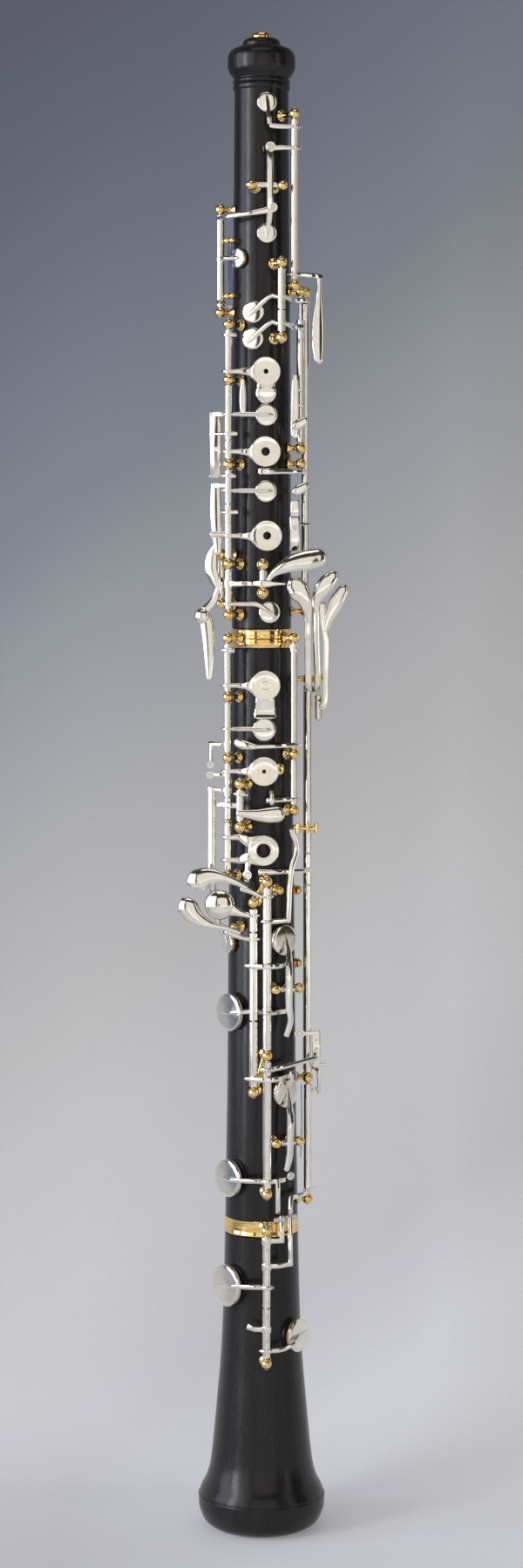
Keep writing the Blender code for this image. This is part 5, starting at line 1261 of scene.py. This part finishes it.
# ------------------------------------------------------------------ stage, light and camera
def backdrop():
    """Pale sweep: a floor that curves up into a wall; its back is see-through. Its colour is painted light and shade,
    darker towards the top and on the left, and it glows with that colour though it is no lamp.
    """
    points, faces = [], []
    floor_z, wall_y, bend, half = -0.0006, 0.085, 0.045, 3.0
    profile = [(-3.0, floor_z), (wall_y - bend, floor_z)]
    for k in range(1, 13):
        turn = math.pi / 2 * k / 12
        profile.append((wall_y - bend + bend * math.sin(turn), floor_z + bend * (1 - math.cos(turn))))
    profile.append((wall_y, 2.6))
    for y, z in profile:
        points += [(-half, y, z), (half, y, z)]
    for i in range(len(profile) - 1):
        faces.append([2 * i, 2 * i + 1, 2 * i + 3, 2 * i + 2])
    mesh = bpy.data.meshes.new("backdrop")
    mesh.from_pydata(points, [], faces)
    mesh.shade_smooth()
    m = Nodes("backdrop_painted_glow")
    split = m.add("ShaderNodeSeparateXYZ")
    m.link(m.place, split.inputs["Vector"])
    # Painted shade: the paper's colour darkens towards the top and, through this slant, towards the left.
    slant = m.add("ShaderNodeMath", operation="MULTIPLY_ADD")
    m.link(split.outputs["X"], slant.inputs[0])
    slant.inputs[1].default_value = -0.75
    m.link(split.outputs["Z"], slant.inputs[2])
    height = m.add("ShaderNodeMapRange", From_Min=-0.06, From_Max=0.70)
    m.link(slant.outputs["Value"], height.inputs["Value"])
    stops = []
    for z, colour in GLOW:
        stops.append(((z + 0.06) / 0.76, tuple(((c / 255 + 0.055) / 1.055) ** 2.4 for c in colour)))
    colour = m.ramp(height.outputs["Result"], stops)
    speckle = m.ramp(m.noise(900.0, 3.0), [(0.3, 0.985), (0.7, 1.015)])
    colour = m.mix(colour, speckle, 1.0, "MULTIPLY")
    # Painted light: the floor in front of the instrument glows brighter and warmer towards the camera.
    near = m.add("ShaderNodeMapRange", From_Min=-0.22, From_Max=-0.42)
    m.link(split.outputs["Y"], near.inputs["Value"])
    front_floor_glow = m.ramp(near.outputs["Result"], [(0.0, (0.0, 0.0, 0.0)), (1.0, (0.70, 0.66, 0.60))])
    m.link(m.mix(colour, front_floor_glow, 1.0, "ADD"), m.shader.inputs["Emission Color"])
    m.finish(colour, None, None, Roughness=0.9, Specular_IOR_Level=0.05, Emission_Strength=PAPER_GLOW)
    geometry = m.add("ShaderNodeNewGeometry")
    clear = m.add("ShaderNodeBsdfTransparent")
    pick = m.add("ShaderNodeMixShader")
    m.link(geometry.outputs["Backfacing"], pick.inputs["Fac"])
    m.link(m.shader.outputs["BSDF"], pick.inputs[1])
    m.link(clear.outputs["BSDF"], pick.inputs[2])
    m.link(pick.outputs["Shader"], m.tree.nodes["Material Output"].inputs["Surface"])
    mesh.materials.append(m.material)
    item = bpy.data.objects.new("backdrop", mesh)
    bpy.context.scene.collection.objects.link(item)


def area_light(name, place, target, width, height, power, colour=(1, 1, 1)):
    data = bpy.data.lights.new(name, "AREA")
    data.shape = "RECTANGLE"
    data.size, data.size_y = width, height
    data.energy = power
    data.color = colour
    item = bpy.data.objects.new(name, data)
    item.location = place
    item.rotation_euler = (Vector(target) - Vector(place)).to_track_quat("-Z", "Y").to_euler()
    bpy.context.scene.collection.objects.link(item)


# Painted light and shade on the paper by height above the floor: the colour it reflects and glows with, darker towards
# the top.
GLOW = [(-0.06, (212, 213, 216)), (0.0, (210, 211, 214)), (0.06, (194, 194, 197)), (0.14, (195, 195, 196)),
        (0.20, (189, 189, 189)), (0.26, (179, 179, 178)), (0.32, (169, 169, 170)), (0.375, (155, 157, 160)),
        (0.43, (140, 144, 149)), (0.48, (122, 127, 133)), (0.535, (111, 116, 126)), (0.585, (102, 106, 117)),
        (0.63, (93, 97, 108)), (0.70, (84, 87, 97))]
# Strength of the paper's glow: the backdrop emits its painted light and shade as light.
PAPER_GLOW = 0.285
backdrop()
area_light("soft_front", (0.20, -1.70, 0.35), (0, 0, 0.30), 1.55, 1.9, 7.3, (1.0, 0.975, 0.92))
area_light("soft_left", (-0.85, -1.00, 0.40), (0, 0, 0.30), 0.70, 1.7, 4.5, (1.0, 0.985, 0.96))
area_light("cool_left", (-1.25, -0.15, 0.40), (0, 0, 0.30), 0.55, 1.5, 8.0, (0.80, 0.82, 1.0))
area_light("strip_left", (-1.19, -0.74, 0.40), (0, 0, 0.30), 0.32, 1.5, 13.0, (0.87, 0.90, 1.0))
area_light("soft_right", (1.15, -0.75, 0.40), (0, 0, 0.30), 0.30, 1.5, 1.6, (1.0, 0.98, 0.95))
area_light("soft_top", (0.0, -0.45, 1.45), (0, 0, 0.30), 0.8, 0.5, 1.5)

world = bpy.data.worlds.new("world")
bpy.context.scene.world = world
world.use_nodes = True
background = world.node_tree.nodes["Background"]
background.inputs["Color"].default_value = (0.60, 0.50, 0.42, 1.0)
background.inputs["Strength"].default_value = 0.08
bpy.context.scene.view_settings.view_transform = "Standard"

lens = bpy.data.cameras.new("camera")
lens.lens = 67.5
lens.sensor_width = 36.0
camera = bpy.data.objects.new("camera", lens)
camera.location = (0.0, -1.184, 0.385)
camera.rotation_euler = (Vector((0, 0, 0.30375)) - camera.location).to_track_quat("-Z", "Y").to_euler()
bpy.context.scene.collection.objects.link(camera)
bpy.context.scene.camera = camera
